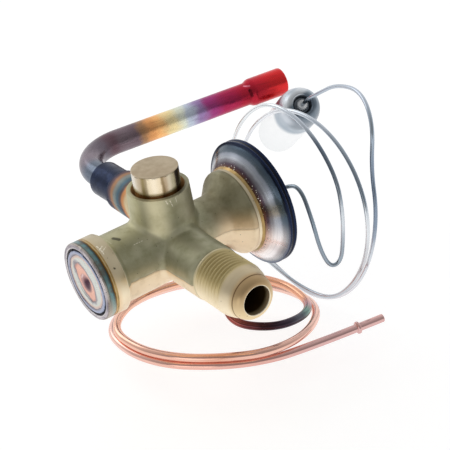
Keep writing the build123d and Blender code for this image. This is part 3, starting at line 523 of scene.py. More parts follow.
@dataclass(frozen=True)
class ForgedBrass:
    """The body's brass: an olive forging with a parting crease and paler machined ends, with painted light
    and shade on it.
    """

    name: str = "forged_brass"
    olive: str = "a8a58a"
    green: str = "9a997b"
    cream: str = "f3dfbf"

    def make(self) -> Material:
        """Builds the material."""
        graph = Graph(self.name)
        x, y, z = graph.split(graph.place)
        broad = graph.noise(0.06, 4, 0.6)
        cloud = graph.noise(0.22, 5, 0.6)
        grit = graph.noise(2.6, 3, 0.7)
        # Olive, with a painted highlight streaked down the front of the boss, painted light on its left side,
        # painted shade on its right side and over the bell, and a warmer tan low on the bell
        beside = graph.vector("DOT_PRODUCT", graph.place, (0.847, -0.531, 0.0))
        ahead = graph.vector("DOT_PRODUCT", graph.place, (-0.531, -0.847, 0.0))
        streak = graph.times(graph.near(beside, -1.4, 7.0, 0.5), (ahead, 2, 6), (ahead, 16, 12.5))
        forged = graph.layers(
            self.olive,
            (self.green, (cloud, 0.35, 0.7)),
            # Painted highlight down the front of the boss
            ("e9dfb8", streak, (z, 7, 12, 0, 0.6)),
            # Painted shade on the boss's right side
            ("8f8970", (beside, 3, 8), (z, 11, 14), (x, 14, 11), 0.6),
            # Painted light on the boss's left side
            ("dcd6ae", (beside, -5.5, -8), (z, 10, 13), 0.55),
            # Painted shade over the bell
            ("786f54", (x, 11, 17), (cloud, 0.3, 0.7, 0.5, 0.7)),
            ("c4a67c", (x, 14, 20), (z, 9, 0.5, 0, 0.75)),
        )
        # Painted light from the floor below: it pales towards its lower half, with a step at the parting
        # line; a dark seam runs along that line
        wander = graph.plus(z, graph.fade(broad, 0, 1, -0.9, 0.9))
        step = graph.times((wander, 0.3, -0.3), (y, -6, -12, 0.25, 0.85))
        share = graph.plus(graph.fade(y, -6, -12, 0.75, 0.15), graph.fade(x, 12, 17, 0, 0.3))
        # The machined ends: the collar, the neck and the nose with its paler tip; painted light makes their
        # undersides paler, and painted shade darkens the top of the nose
        neck = graph.fade(y, -29.4, -29.8)
        turned_end = graph.most(graph.fade(x, -25.1, -25.5), graph.fade(x, 28.5, 28.8), neck)
        faced = graph.layers(
            "c8bb9e",
            ("c2b180", neck),
            ("ccbc9c", (y, -43.0, -44.5)),
            # Painted light: paler underneath
            ("fbebcc", (z, 6, -3.5)),
            ("d2c6a2", (y, -30.6, -30.0), neck),
            # Painted shade on top of the nose, painted light under it
            (graph.blend("b2966e", "f0d8ac", (z, 6, -5)), (y, -46.5, -49.2)),
        )
        # Heat from the outlet's braze, in bands along the outlet arm
        along = graph.plus(y, graph.fade(z, 5, -6, 0, 3.5))
        heat = graph.bands(graph.plus(along, graph.fade(broad, 0, 1, -1.5, 1.5)), 26, 46, (
            (26, "c6bd98"), (31, "dccca6"), (33.6, "d0905c"), (35.2, "5e5658"), (37.2, "56707e"),
            (39.8, "8c9490"), (42, "ac8262"), (43.8, "66545a"), (45.2, "33384e"),
        ))
        # Small dark pits of the forging, bright scratches on collar, boss and barrel, and dents
        pit = graph.fade(graph.cells(0.42), 0.04, 0.1, 1, 0)
        broken = graph.fade(graph.noise(2.2, 3), 0.4, 0.52)
        scratches = graph.marks(
            ((-28.9, -3.79, 13.79), (-28.6, -7.37, 12.25), 0.7),
            ((-29.3, -5.65, 13.14), (-27.3, -4.65, 13.52), 0.6),
            ((-28.4, -6.40, 12.79), (-26.6, -5.52, 13.19), 0.45),
            ((-25.2, 0.21, 14.00), (-23.4, -3.37, 12.14), 0.6),
            ((-2.3, -10.7, 22.4), (-1.6, -10.8, 20.0), 0.5),
            ((0.0, -10.9, 22.5), (0.2, -10.9, 18.5), 0.4),
            ((-3.6, -10.3, 22.6), (-3.2, -10.5, 21.4), 0.6),
            ((-17.0, -7.2, 10.2), (-13.5, -7.2, 10.2), 0.3),
        )
        dents = graph.marks(
            ((-21.2, -1.6, 12.4), (-20.0, -3.2, 12.1), 1.8),
            ((-28.0, -11.75, 8.16), (-27.9, -11.83, 8.03), 0.9),
            ((-2.1, -50.3, 7.6), (-2.1, -50.2, 7.6), 0.5),
        )
        bore = graph.length(x, 0.0, z)
        colour = graph.layers(
            forged,
            # Painted light: the lower half goes cream
            (self.cream, graph.plus(graph.times((z, 7.5, -1.5), share), step)),
            ("6a5c40", graph.near(wander, 0, 0.3, 0.08), 0.35),
            ("8a7a5a", (cloud, 0.5, 0.78, 0, 0.18)),
            (faced, turned_end),
            # Painted shade darkens the bore, and a painted highlight rings the edge of its mouth
            ("54401f", (bore, 5.5, 5.2), (y, -51.0, -49.0)),
            ("fff4dc", graph.near(bore, 5.3, 0.22, 0.1), (y, -51.4, -51.8)),
            # The gap round the plug is brown
            ("86602e", (graph.length(x, y, 0.0), 9.6, 9.3), (z, 14, 15)),
            (heat, (along, 25, 31)),
            # Heat from the brazes at the two ends of the barrel
            ("dca042", (x, -27.6, -29.6), (z, 9, -6, 0.05, 0.35)),
            ("9c6834", (x, 30.2, 30.7), 0.8),
            # Painted shade darkens the groove behind the flare cone
            ("5e4426", graph.near(y, -49.0, 0.35, 0.1), (bore, 6.0, 6.5), 0.7),
            ("2a2a20", pit, 0.6),
            ("fdf6e4", scratches, broken, 0.75),
            ("2c2c22", dents, 0.75),
        )
        crease = graph.fade(graph.math("ABSOLUTE", wander), 0.0, 0.7)
        skin = graph.plus(graph.times(crease, 0.16), graph.times(grit, 0.014), graph.times(cloud, 0.07))
        skin = graph.times(skin, graph.math("SUBTRACT", 1.0, turned_end))
        skin = graph.plus(skin, graph.times(pit, -0.05), graph.times(dents, -0.12))
        rough = graph.plus(graph.fade(cloud, 0.3, 0.7, 0.46, 0.58), graph.times(turned_end, -0.1))
        return graph.finish(colour, 0.8, rough, skin, 1.0)


@dataclass(frozen=True)
class Route:
    """A tube's route: given points in mm from the barrel's centre."""

    points: tuple[Point, ...]

    def line(self, pitch: float) -> np.ndarray:
        """The route's smooth line, as points a pitch apart in mm.

        Args:
            pitch: The wanted distance between points.

        Returns:
            The points in the frame, in mm.
        """
        curve = bpy.data.curves.new("route", "CURVE")
        curve.dimensions = "3D"
        curve.resolution_u = 24
        spline = curve.splines.new("NURBS")
        spline.points.add(len(self.points) - 1)
        corners = np.ones((len(self.points), 4))
        corners[:, :3] = np.array(self.points) + CENTRE
        spline.points.foreach_set("co", corners.ravel())
        spline.order_u = 3
        spline.use_endpoint_u = True
        holder = linked("route", curve)
        mesh = bpy.data.meshes.new_from_object(holder)
        found = np.zeros(len(mesh.vertices) * 3)
        mesh.vertices.foreach_get("co", found)
        found = found.reshape(-1, 3)
        bpy.data.objects.remove(holder)
        bpy.data.curves.remove(curve)
        bpy.data.meshes.remove(mesh)
        reach = reach_along(found)
        return sampled(np.linspace(0, reach[-1], int(reach[-1] / pitch) + 1), reach, found)


def swept(name: str, line: np.ndarray, outline: list[tuple[float, float]], count: int) -> Piece:
    """Sweeps a round section of changing radius along a line.

    The mesh gets the attribute tube: the distance along it in mm, and the cosine and sine round it.

    Args:
        name: The object's name.
        line: Points in the frame, in mm.
        outline: Rows of distance along and radius in mm, in order; it may turn back for a bore.
        count: The number of steps round the tube.

    Returns:
        The new object.
    """
    reach = reach_along(line)
    tangent = np.gradient(line, axis=0)
    tangent /= np.linalg.norm(tangent, axis=1)[:, None]
    side = np.zeros_like(line)
    side[0] = square_to(tangent[0])
    for index in range(1, len(line)):
        side[index] = side[index - 1] - tangent[index] * (side[index - 1] @ tangent[index])
        side[index] /= np.linalg.norm(side[index])
    rows = np.array(outline)
    middle, ahead, beside = (sampled(rows[:, 0], reach, values) for values in (line, tangent, side))
    ahead /= np.linalg.norm(ahead, axis=1)[:, None]
    beside /= np.linalg.norm(beside, axis=1)[:, None]
    above = np.cross(ahead, beside)
    angles = circle(count)[None, :]
    ring = np.cos(angles)[:, :, None] * beside[:, None, :] + np.sin(angles)[:, :, None] * above[:, None, :]
    piece = lattice(name, middle[:, None, :] + rows[:, None, 1:2] * ring, False, True)
    values = np.zeros((len(rows), count, 3), np.float32)
    values[:, :, 0] = rows[:, 0:1]
    values[:, :, 1] = np.cos(angles)
    values[:, :, 2] = np.sin(angles)
    layer = piece.data.attributes.new("tube", "FLOAT_VECTOR", "POINT")
    layer.data.foreach_set("vector", values.ravel())
    return piece


def along_line(start: float, end: float, radius: float, pitch: float) -> list[tuple[float, float]]:
    """Rows of distance and radius along a plain stretch of tube."""
    return [(at, radius) for at in np.linspace(start, end, max(2, int(abs(end - start) / pitch)))]


@dataclass(frozen=True)
class TubeMetal:
    """Drawn tube metal whose colour follows the distance along the tube.

    Attributes:
        name: The material's name.
        stops: Colours by distance in mm.
        reach: The tube's length in mm.
        metallic: How far it is metal.
        roughness: Its middle roughness.
        wander: How far the colour bands shift, in mm.
        soot: How dark its drawing marks are.
        marks: Spots, each as two points in mm, a width in mm and a colour.
    """

    name: str
    stops: Stops
    reach: float
    metallic: float = 1.0
    roughness: float = 0.25
    wander: float = 2.0
    soot: float = 0.15
    marks: tuple[tuple[Point, Point, float, str], ...] = ()

    def make(self) -> Material:
        """Builds the material."""
        graph = Graph(self.name)
        distance, round_cos, round_sin = graph.split(graph.attribute("tube"))
        drift = graph.noise(0.18, 3, 0.6)
        shifted = graph.plus(distance, graph.fade(drift, 0, 1, -self.wander, self.wander))
        colour = graph.bands(shifted, 0, self.reach, self.stops)
        fine = graph.join(graph.times(distance, 0.15), graph.times(round_cos, 6), graph.times(round_sin, 6))
        streak = graph.noise(1.0, 4, 0.6, fine)
        cloud = graph.noise(0.5, 4, 0.6)
        colour = graph.blend(colour, (0.02, 0.015, 0.012), (streak, 0.45, 0.75, 0, self.soot))
        blot = graph.fade(graph.noise(0.7, 3, 0.7), 0.4, 0.6)
        broken = graph.math("MULTIPLY_ADD", blot, 0.5, 0.5)
        for first, last, width, code in self.marks:
            colour = graph.blend(colour, code, graph.mark(first, last, width), broken)
        rough = (cloud, 0.3, 0.7, self.roughness * 0.75, self.roughness * 1.35)
        return graph.finish(colour, self.metallic, rough, graph.plus(streak, cloud), 0.005)


@dataclass
class ValveBody:
    """The forged and machined brass body, with its thread; sizes are in mm.

    Attributes:
        reach: From the barrel's centre to the mouth.
        thread: The thread's first and last station.
        thread_r: Its outside radius.
        pitch: From one ridge to the next.
        depth: How far its grooves go in.
        run_in: The plain start of the thread and the length in which its grooves get deep.
        run_out: The same for its end.
        edge: The length of the thread's tapered edge.
        edge_drop: How far that edge falls.
        bore_r: The bore's radius.
        bore_depth: How far in from the mouth the bore is made anew.
        rows: The number of rows of the thread's mesh.
        steps: The number of steps round it.
    """

    reach: float = 52.0
    thread: tuple[float, float] = (29.6, 43.6)
    thread_r: float = 9.525
    pitch: float = 1.5875
    depth: float = 0.72
    run_in: tuple[float, float] = (0.5, 1.1)
    run_out: tuple[float, float] = (0.25, 0.9)
    edge: float = 0.8
    edge_drop: float = 0.2
    bore_r: float = 5.17
    bore_depth: float = 36.0
    rows: int = 272
    steps: int = 256

    def forging(self) -> Piece:
        """A copy of the CAD body, without the inlet's machined end."""
        piece = linked("brass_body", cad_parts["valve_body"].data.copy())
        work = bmesh.new()
        work.from_mesh(piece.data)
        low = (self.reach - self.thread[1]) * MM
        high = (self.reach - self.thread[0]) * MM
        bore_end = self.bore_depth * MM
        slack = 2e-5
        doomed = []
        for face in work.faces:
            spans = [(sqrt(v.co.x**2 + v.co.z**2), v.co.y) for v in face.verts]
            outside = all(r > (self.bore_r + 0.01) * MM and y < high + slack for r, y in spans)
            inside = all(abs(r - self.bore_r * MM) < slack and y < bore_end + slack for r, y in spans)
            front = all(y < slack for _, y in spans)
            shoulder = all(y < low + slack for _, y in spans) and outside
            if outside or inside or front or shoulder:
                doomed.append(face)
        bmesh.ops.delete(work, geom=doomed, context="FACES")
        work.to_mesh(piece.data)
        work.free()
        return piece

    def thread_surface(self) -> Piece:
        """The helical thread, faded out at both ends.

        Its radius falls by the depth times 1 - r, where r goes smoothly from 0 in the groove to 1 on the
        ridge with the turn: the station over the pitch plus the angle's share of a circle.
        """
        start, end = self.thread
        stations = np.linspace(start, end, self.rows)
        turn = (stations[:, None] / self.pitch + circle(self.steps)[None, :] / (2 * pi)) % 1.0
        ridge = np.clip(np.abs(turn - 0.5) * 2.6 - 0.25, 0, 1)
        ridge = ridge * ridge * (3 - 2 * ridge)
        fade_in = np.clip((stations - start - self.run_in[0]) / self.run_in[1], 0, 1)
        fade_out = np.clip((end - stations - self.run_out[0]) / self.run_out[1], 0, 1)
        cut = (fade_in * fade_out)[:, None]
        edge = np.clip((stations - (end - self.edge)) / self.edge, 0, 1)[:, None]
        radius = self.thread_r - self.depth * (1 - ridge) * cut - self.edge_drop * edge
        return revolved("thread", INLET, stations, radius, self.steps, False)

    def nose(self) -> Piece:
        """The collar, the cone, the mouth and the bore."""
        end = self.thread[1]
        profile: Profile = [
            (end, self.thread_r - self.edge_drop, 0), (end + 0.1, 9.3, 0.1), (end + 0.9, 9.14, 0.4),
            (end + 1.9, 8.92, 0.5), (end + 3.0, 8.52, 0.5), (end + 4.1, 8.14, 0.5), (end + 5.25, 7.96, 0.1),
            (end + 5.38, 7.78, 0.08), (end + 5.6, 7.88, 0.12), (self.reach - 1.3, 7.4, 0.8),
            (self.reach - 0.35, 6.6, 0.8), (self.reach, 5.75, 0.4), (self.reach, self.bore_r + 0.16, 0.05),
            (self.reach - 0.3, self.bore_r, 0.08), (self.reach - self.bore_depth, self.bore_r, 0),
        ]
        return turned("nose", INLET, profile, False, self.steps)

    def build(self) -> None:
        """Makes and dresses the body."""
        body = joined("brass_body", [self.forging(), self.thread_surface(), self.nose()])
        dress(body, ForgedBrass().make(), "forged_brass", "valve_body", angle=40)


@dataclass
class BossPlug:
    """The turned steel plug in the boss."""

    radius: float = 8.28
    foot: float = 11.0
    top: float = 30.6

    def finish(self) -> Material:
        """A mirror side with painted reflection bands standing round it, and a satin, faced top."""
        graph = Graph("plug_steel")
        x, y, z = graph.split(graph.place)
        cloud = graph.noise(0.3, 4)
        around = graph.times(graph.math("ARCTAN2", y, x), 180 / pi)
        # Painted reflections: light and dark bands by the angle round the side, fixed on the plug
        side = graph.bands(graph.plus(around, graph.fade(cloud, 0, 1, -3, 3)), -180, 180, (
            (-180, "d8ccb8"), (-164, "bfae94"), (-155, "98875f"), (-147, "a8987a"), (-140, "eadabc"),
            (-126, "f8e9ce"), (-113, "eedcbc"), (-107, "9c8664"), (-99, "bca88c"), (-89, "ccc0a8"),
            (-78, "a89f84"), (-72, "9a8e72"), (-66, "4c4032"), (-54, "40372b"), (-44, "7c7868"),
            (-34, "bab6ac"), (30, "8f8468"), (100, "d8ccb8"), (150, "e8e4da"), (180, "e0d6c6"),
        ))
        # A dark line runs just under the top edge, broken into patches
        patchy = graph.fade(graph.noise(0.6, 3), 0.42, 0.56, 0.2, 0.85)
        side = graph.blend(side, "2c241a", graph.near(z, self.top - 0.42, 0.16, 0.06), patchy)
        stain = graph.fade(graph.noise(0.15, 3), 0.4, 0.7, 0, 0.4)
        top = graph.layers("beae94", ("b0a085", (cloud, 0.3, 0.7)), ("a8937a", stain))
        face = graph.fade(z, self.top - 0.25, self.top - 0.05)
        rings = graph.rings(graph.length(x, y, 0.0), 6.0, 3)
        scuff = graph.noise(1.2, 3, at=graph.join(x, graph.times(y, 0.1), z))
        height = graph.plus(graph.times(rings, face, 0.6), graph.times(scuff, 0.08))
        rough = graph.math("MULTIPLY_ADD", face, 0.16, 0.24)
        return graph.finish(graph.blend(side, top, face), 1.0, rough, height, 0.01)

    def build(self) -> None:
        """Makes and dresses the plug."""
        profile: Profile = [
            (self.foot, 0, 0), (self.foot, self.radius, 0.3), (self.top, self.radius, 0.35),
            (self.top, 0, 0),
        ]
        plug = turned("plug", BOSS, profile, False, 224)
        dress(plug, self.finish(), "plug_steel", "boss_plug")


@dataclass
class EndCap:
    """The welded end cap: ring, groove and stepped disc."""

    face: float = -34.0

    def disc_finish(self) -> Material:
        """Rings of heat tint round a salmon middle."""
        graph = Graph("cap_steel")
        _, y, z = graph.split(graph.place)
        wobble = graph.noise(0.22, 3, 0.6)
        lumpy = graph.noise(0.45, 3, 0.5)
        radius = graph.length(0.0, y, z)
        # The salmon patch is longer one way than the other and a little off the centre
        tall = graph.math("MULTIPLY_ADD", y, 0.42, graph.math("MULTIPLY_ADD", z, 0.61, -0.2))
        wide = graph.math("MULTIPLY_ADD", y, 0.97, graph.math("MULTIPLY_ADD", z, -0.67, -1.5))
        oval = graph.length(0.0, tall, wide)
        core = graph.bands(graph.plus(oval, graph.fade(wobble, 0.2, 0.8, -0.6, 0.6)), 0, 10, (
            (0, "e8ac98"), (2.9, "eeb8a2"), (4.7, "ecb4a0"), (5.2, "cf9c90"), (5.6, "8e868a"),
            (6.1, "b4b0b2"), (6.8, "d6d8d0"), (9.4, "d3d8d2"),
        ))
        rim = graph.bands(graph.plus(radius, graph.fade(lumpy, 0.2, 0.8, -0.2, 0.2)), 8.8, 12, (
            (8.8, "d2d2ca"), (9.3, "dcc8ba"), (9.9, "cfb8b0"), (10.2, "77707a"), (10.5, "a4a4b2"),
            (11.1, "aab0c8"), (11.5, "98a0b8"), (11.8, "4a5268"),
        ))
        # The dimple's purple has painted shade, darkest a little below its middle, and a painted glint on its
        # upper side
        flat = graph.join(0.0, y, z)
        colour = graph.layers(
            core,
            ("b88888", (graph.vector("DISTANCE", flat, (0.0, 1.0, -1.0)), 4.0, 3.0, 0, 0.85)),
            ("4c2c3c", (graph.vector("DISTANCE", flat, (0.0, 0.5, -1.4)), 3.5, 1.2)),
            ("fbe9e6", graph.mark((-33.0, 2.2, 2.0), (-33.0, 3.6, 0.2), 1.3), 0.75),
            (rim, (radius, 8.9, 9.2)),
            ("2c2c34", (graph.cells(1.1), 0.08, 0.2, 1, 0), 0.5),
        )
        height = graph.plus(graph.rings(radius, 5.0, 2), lumpy)
        return graph.finish(colour, 0.8, (lumpy, 0.3, 0.7, 0.26, 0.42), height, 0.03)

    def ring_finish(self) -> Material:
        """Blue-grey tint with brown patches, and painted light that makes its lower side paler."""
        graph = Graph("cap_ring_steel")
        x, y, z = graph.split(graph.place)
        cloud = graph.noise(0.2, 4, 0.6)
        radius = graph.length(0.0, y, z)
        edge = graph.plus(x, graph.fade(cloud, 0.3, 0.7, -0.15, 0.15))
        upper = graph.bands(edge, -34, -30, (
            (-34, "beb6b2"), (-33.4, "a49c94"), (-33, "5c6460"), (-32.6, "6a8684"), (-31.9, "62868a"),
            (-31.4, "44585a"), (-31, "4a3a24"), (-30.6, "8c6428"), (-30.3, "c4ae80"),
        ))
        # Painted light from below: the lower side takes a paler copy of the tint bands
        lower = graph.bands(edge, -34, -30, (
            (-34, "8c807e"), (-33.4, "b4a898"), (-32.6, "b6aa9c"), (-31.9, "a8b2a6"), (-31.2, "aab4a8"),
            (-30.8, "9c7c50"), (-30.3, "ecc680"),
        ))
        patches = graph.times((cloud, 0.48, 0.64, 0, 0.75), (x, -31.4, -31.8))
        side = graph.layers(upper, (lower, (z, 2, -9)), ("6b5a4c", patches))
        front = graph.layers("c6bcc0", ("8a828c", (cloud, 0.35, 0.65)), ("d6d0d0", (radius, 13.2, 12.7)))
        specks = graph.times((graph.cells(1.3), 0.12, 0.3, 1, 0), (x, -32.9, -33.3), 0.75)
        colour = graph.layers(front, (side, (radius, 13.75, 14.1)), ("26242a", specks))
        return graph.finish(colour, 0.85, (cloud, 0.3, 0.7, 0.24, 0.4), cloud, 0.15)

    def build(self) -> None:
        """Makes and dresses the ring and the disc."""
        face = self.face
        ring: Profile = [
            (-30.1, 10.5, 0), (-30.1, 14.3, 0.15), (face, 14.3, 1.1), (face, 12.5, 0.4), (-31.0, 12.5, 0.1),
            (-31.0, 10.5, 0.1),
        ]
        piece = turned("cap_rim", BARREL, ring, True, 192)
        dress(piece, self.ring_finish(), "cap_ring_steel", "cap_ring")
        disc: Profile = [
            (-31.0, 0, 0), (-31.0, 11.7, 0.2), (face + 0.3, 11.7, 0.15), (face, 11.4, 0.15),
            (face, 10.6, 0.2), (face + 0.3, 10.3, 0.2), (face + 0.3, 7.6, 0.2), (face + 0.6, 7.3, 0.2),
            (face + 0.6, 2.4, 0.7), (face + 1.25, 0.5, 0.4), (face + 1.3, 0, 0),
        ]
        piece = turned("cap_disc", BARREL, disc, False, 192)
        dress(piece, self.disc_finish(), "cap_steel", "end_cap", angle=60)


@dataclass
class PowerHead:
    """The dished housing and the back cover."""

    def finish(self) -> Material:
        """Satin steel, tinted in rings by the braze at its foot and the weld at its rim, with a painted
        reflection of the floor on its lower half and a painted highlight along its rim.
        """
        graph = Graph("head_steel")
        x, y, z = graph.split(graph.place)
        radius = graph.length(0.0, y, z)
        cloud = graph.noise(0.12, 4, 0.6)
        moved = graph.plus(radius, graph.fade(cloud, 0.2, 0.8, -0.35, 0.35))
        upper = graph.bands(moved, 15, 25, (
            (15, "a5866a"), (16.6, "6e4a3a"), (17.6, "50404a"), (18.6, "7c7a80"), (19.6, "a6aab2"),
            (20.5, "9aa0ac"), (21.4, "5c6874"), (22.6, "4a5866"), (23.3, "16213a"), (24.1, "1c2a48"),
        ))
        # Painted reflection of the bright floor: the lower half's bands go pale pink and white
        lower = graph.bands(moved, 15, 25, (
            (15, "e0bc96"), (16.8, "dcb8a4"), (17.8, "ecd6cc"), (19, "fdf3ef"), (20.6, "fbf4f3"),
            (21.8, "c4bebe"), (22.8, "9c9ca0"), (23.4, "7c8290"), (24.1, "667088"),
        ))
        back = graph.bands(moved, 0, 25, (
            (0, "8f8a86"), (6, "a9a7a6"), (14, "9da0a6"), (20, "8f919c"), (24.3, "1b1f30"),
        ))
        rim = graph.times((radius, 23.3, 23.7), (x, 36.5, 36.7))
        lines = graph.rings(radius, 2.4, 3, 0.7)
        # Small beads and pits of the braze lie round the dish's foot
        beads = graph.cells(0.9)
        foot = graph.times((radius, 18.0, 17.3), (beads, 0.42, 0.3))
        colour = graph.layers(
            upper,
            (lower, (z, 2, -8)),
            (back, (x, 38.0, 38.4)),
            ("1b2744", rim),
            # Painted highlight: a pale line along the groove of the rim
            ("8c98ac", graph.near(x, 37.5, 0.22, 0.08), rim, 0.5),
            ("282c36", (lines, 0.5, 0.68, 0, 0.3)),
            (graph.blend("f6ece2", "241816", (beads, 0.18, 0.26)), foot, 0.8),
        )
        rings = graph.noise(1.0, 2, at=graph.join(graph.times(radius, 3.0), x, 0.0))
        height = graph.plus(rings, graph.times(foot, 2.0))
        return graph.finish(colour, 0.9, (cloud, 0.3, 0.7, 0.22, 0.34), height, 0.04)

    def build(self) -> None:
        """Makes and dresses the head's pieces."""
        steel = self.finish()
        housing: Profile = [
            (30.8, 11.2, 0), (30.8, 16.3, 0.2), (31.3, 17.1, 0.5), (32.4, 18.4, 1.6), (34.6, 20.7, 1.8),
            (35.6, 22.2, 0.8), (36.5, 23.1, 0.4), (36.6, 24.1, 0.25), (37.35, 24.1, 0.25),
            (37.87, 23.55, 0.2), (37.87, 21.6, 0.2), (36.0, 20.6, 0.6), (32.0, 15.7, 0.8),
            (32.0, 11.2, 0.2),
        ]
        piece = turned("head_dish", BARREL, housing, True, 256, 7)
        dress(piece, steel, "head_steel", "lower_diaphragm_housing")
        cover: Profile = [
            (38.13, 21.6, 0.2), (38.13, 23.55, 0.2), (38.65, 24.1, 0.25), (39.4, 24.1, 0.25),
            (39.4, 20.6, 0.8), (41.8, 19.4, 1.4), (43.0, 17.6, 1.4), (43.0, 5.2, 0.6), (45.4, 4.6, 0.5),
            (45.4, 0.82, 0), (41.8, 0.82, 0), (41.8, 17.0, 0.5), (38.8, 18.8, 0.5),
        ]
        piece = turned("head_cover", BARREL, cover, True, 256, 7)
        dress(piece, steel, "head_steel", "upper_diaphragm_cover")


@dataclass
class OutletTube:
    """The bent copper outlet tube with its belled end."""

    radius: float = 5.0
    wall: float = 1.0
    bend_r: float = 19.0
    bend: float = 95.9
    start: float = 48.3
    corner: float = 85.6
    run: float = 102.2
    bell_r: float = 6.08
    bell: float = 18.0
    cone: float = 2.6

    def line(self) -> np.ndarray:
        """The tube's centre line, in mm."""
        angle = radians(self.bend)
        trim = self.bend_r * tan(angle / 2)
        corner = OUTLET.start() + np.array([0, self.corner, 0])
        ahead = np.array([sin(angle), cos(angle), 0])
        first = np.linspace(OUTLET.start() + [0, self.start, 0], corner - [0, trim, 0], 12)
        turn = np.linspace(0, angle, 40)[:, None]
        pivot = corner + np.array([self.bend_r, -trim, 0])
        arc = pivot + self.bend_r * (np.cos(turn) * [-1, 0, 0] + np.sin(turn) * [0, 1, 0])
        last = np.linspace(corner + ahead * trim, corner + ahead * self.run, 60)
        return np.concatenate([first[:-1], arc, last[1:]])

    def build(self) -> None:
        """Makes and dresses the tube."""
        line = self.line()
        total = float(reach_along(line)[-1])
        step = total - self.bell
        inner = self.radius - self.wall
        socket = self.bell_r - self.wall
        rows = [(0.0, inner), (0.0, self.radius)]
        rows += along_line(0.5, step - 0.6, self.radius, 0.8)
        rows += [(step, self.radius + 0.08), (step + 0.8, self.radius + 0.45)]
        rows += [(step + 1.7, self.bell_r - 0.2), (step + self.cone, self.bell_r)]
        rows += along_line(step + self.cone + 0.5, total - 0.3, self.bell_r, 1.0)
        rows += [(total - 0.1, self.bell_r - 0.08), (total, self.bell_r - 0.3)]
        rows += [(total, socket + 0.25), (total - 0.25, socket)]
        rows += along_line(total - 0.8, step + self.cone, socket, 1.5)
        rows += [(step, inner)] + along_line(step - 1, 0.0, inner, 2.0)
        tube = swept("tinted_tube", line, rows, 96)
        LOG.info("outlet tube length %.1f mm", total)
        # Heat tint by distance along the tube, partly painted light: its stops from orange to pale blue are
        # paler than the tint, standing in for the tube's highlights
        stops = (
            (0, "3a3a48"), (16, "6c7686"), (24, "867a84"), (35, "6c626c"), (43, "6a525a"),
            (50, "807078"), (55, "78666e"), (58.5, "a8805e"), (62, "e8a468"), (66, "ffc07c"),
            (72, "f6e2aa"), (77, "e4e8d4"), (81, "c2ccdc"), (86, "9c80b0"), (91, "a4407e"),
            (100, "b42c58"), (110, "c0263c"), (126, "e03032"),
        )
        # The first two marks are painted light on a dimple: painted shade in its hollow and a painted
        # highlight on its rim
        marks = (
            ((93.2, 73.0, 3.0), (93.2, 72.2, 0.8), 2.2, "32060e"),
            ((92.0, 75.6, 4.8), (94.0, 74.3, 4.4), 1.2, "ff9ab0"),
            ((48.0, 78.9, 3.2), (56.0, 77.6, 1.6), 0.7, "5e6a70"),
            ((67.0, 76.9, 2.4), (72.5, 76.0, 1.0), 0.9, "46405e"),
            ((30.5, 80.2, 0.6), (36.0, 79.6, -1.0), 2, "4c4a52"),
        )
        metal = TubeMetal("tinted_copper", stops, total, 0.9, 0.26, 2.2, 0.25, marks)
        dress(tube, metal.make(), "tinted_copper", "outlet_tube")


EQUALIZER = Route((
    (22, 0, -13.2), (22, 0, -27), (16, -4.5, -41), (28, -20.5, -42), (46.5, -19.5, -43.5),
    (51, -0.5, -44), (45.5, 16, -44), (34, 29, -44.5), (18.5, 37.5, -44.5), (1, 39.5, -44.5),
    (-14.5, 30, -45), (-14.5, 11.5, -45), (-7, -4, -45), (5, -16.5, -45), (19.5, -26.5, -45),
    (37.5, -26.5, -46), (52, -15.5, -47), (52, 2.5, -47.5), (44.5, 18, -47.5), (34.5, 32, -48),
    (19.5, 41.5, -48), (2, 43.5, -48), (-14, 35, -48.5), (-16, 17, -48.5), (-10.5, 0.5, -48.5),
    (1, -13, -48.5), (15, -23, -49), (31, -29.5, -49), (65.5, -36, -49),
))

CAPILLARY = Route((
    (43, 0, 0), (53.8, 0, 0), (54, -8.5, 2.5), (53.7, -14, -9), (54, -17, -22), (56, -19.5, -29),
    (60, -21, -27.5), (61, -22, -18.5), (62, -22, -6.5), (63.5, -18.5, 5), (64.5, -8.5, 16),
    (65.5, 5.5, 23), (65.5, 22, 23.5), (64.5, 36, 14.5), (62.5, 45, 1), (61, 49, -14.5),
    (59.5, 47, -31), (58.5, 36.5, -44), (58.5, 20.5, -48), (59.5, 4.5, -51.5), (61.5, -11.5, -50.5),
    (64, -23, -38.5), (66.5, -29, -23.5), (68.5, -28.5, -7), (70.5, -20.5, 7), (72, -7, 16.5),
    (72, 8.5, 20.5), (71.5, 24.5, 17.5), (70, 38, 8), (68, 47, -5.5), (66.5, 51, -21.5),
    (65, 48.5, -38), (63.5, 36.5, -49), (63.5, 21.5, -54.5), (64.5, 5.5, -58.5), (66.5, -10, -53),
    (68.5, -21, -41), (71, -26.5, -26), (74, -27, -10), (77.5, -21.5, 5), (80.5, -21, 22), (87, -8, 29),
    (89, 8.5, 26), (91, 22.5, 17.5), (93.41, 33.94, 10.21), (95.57, 39.95, 5.4),
))


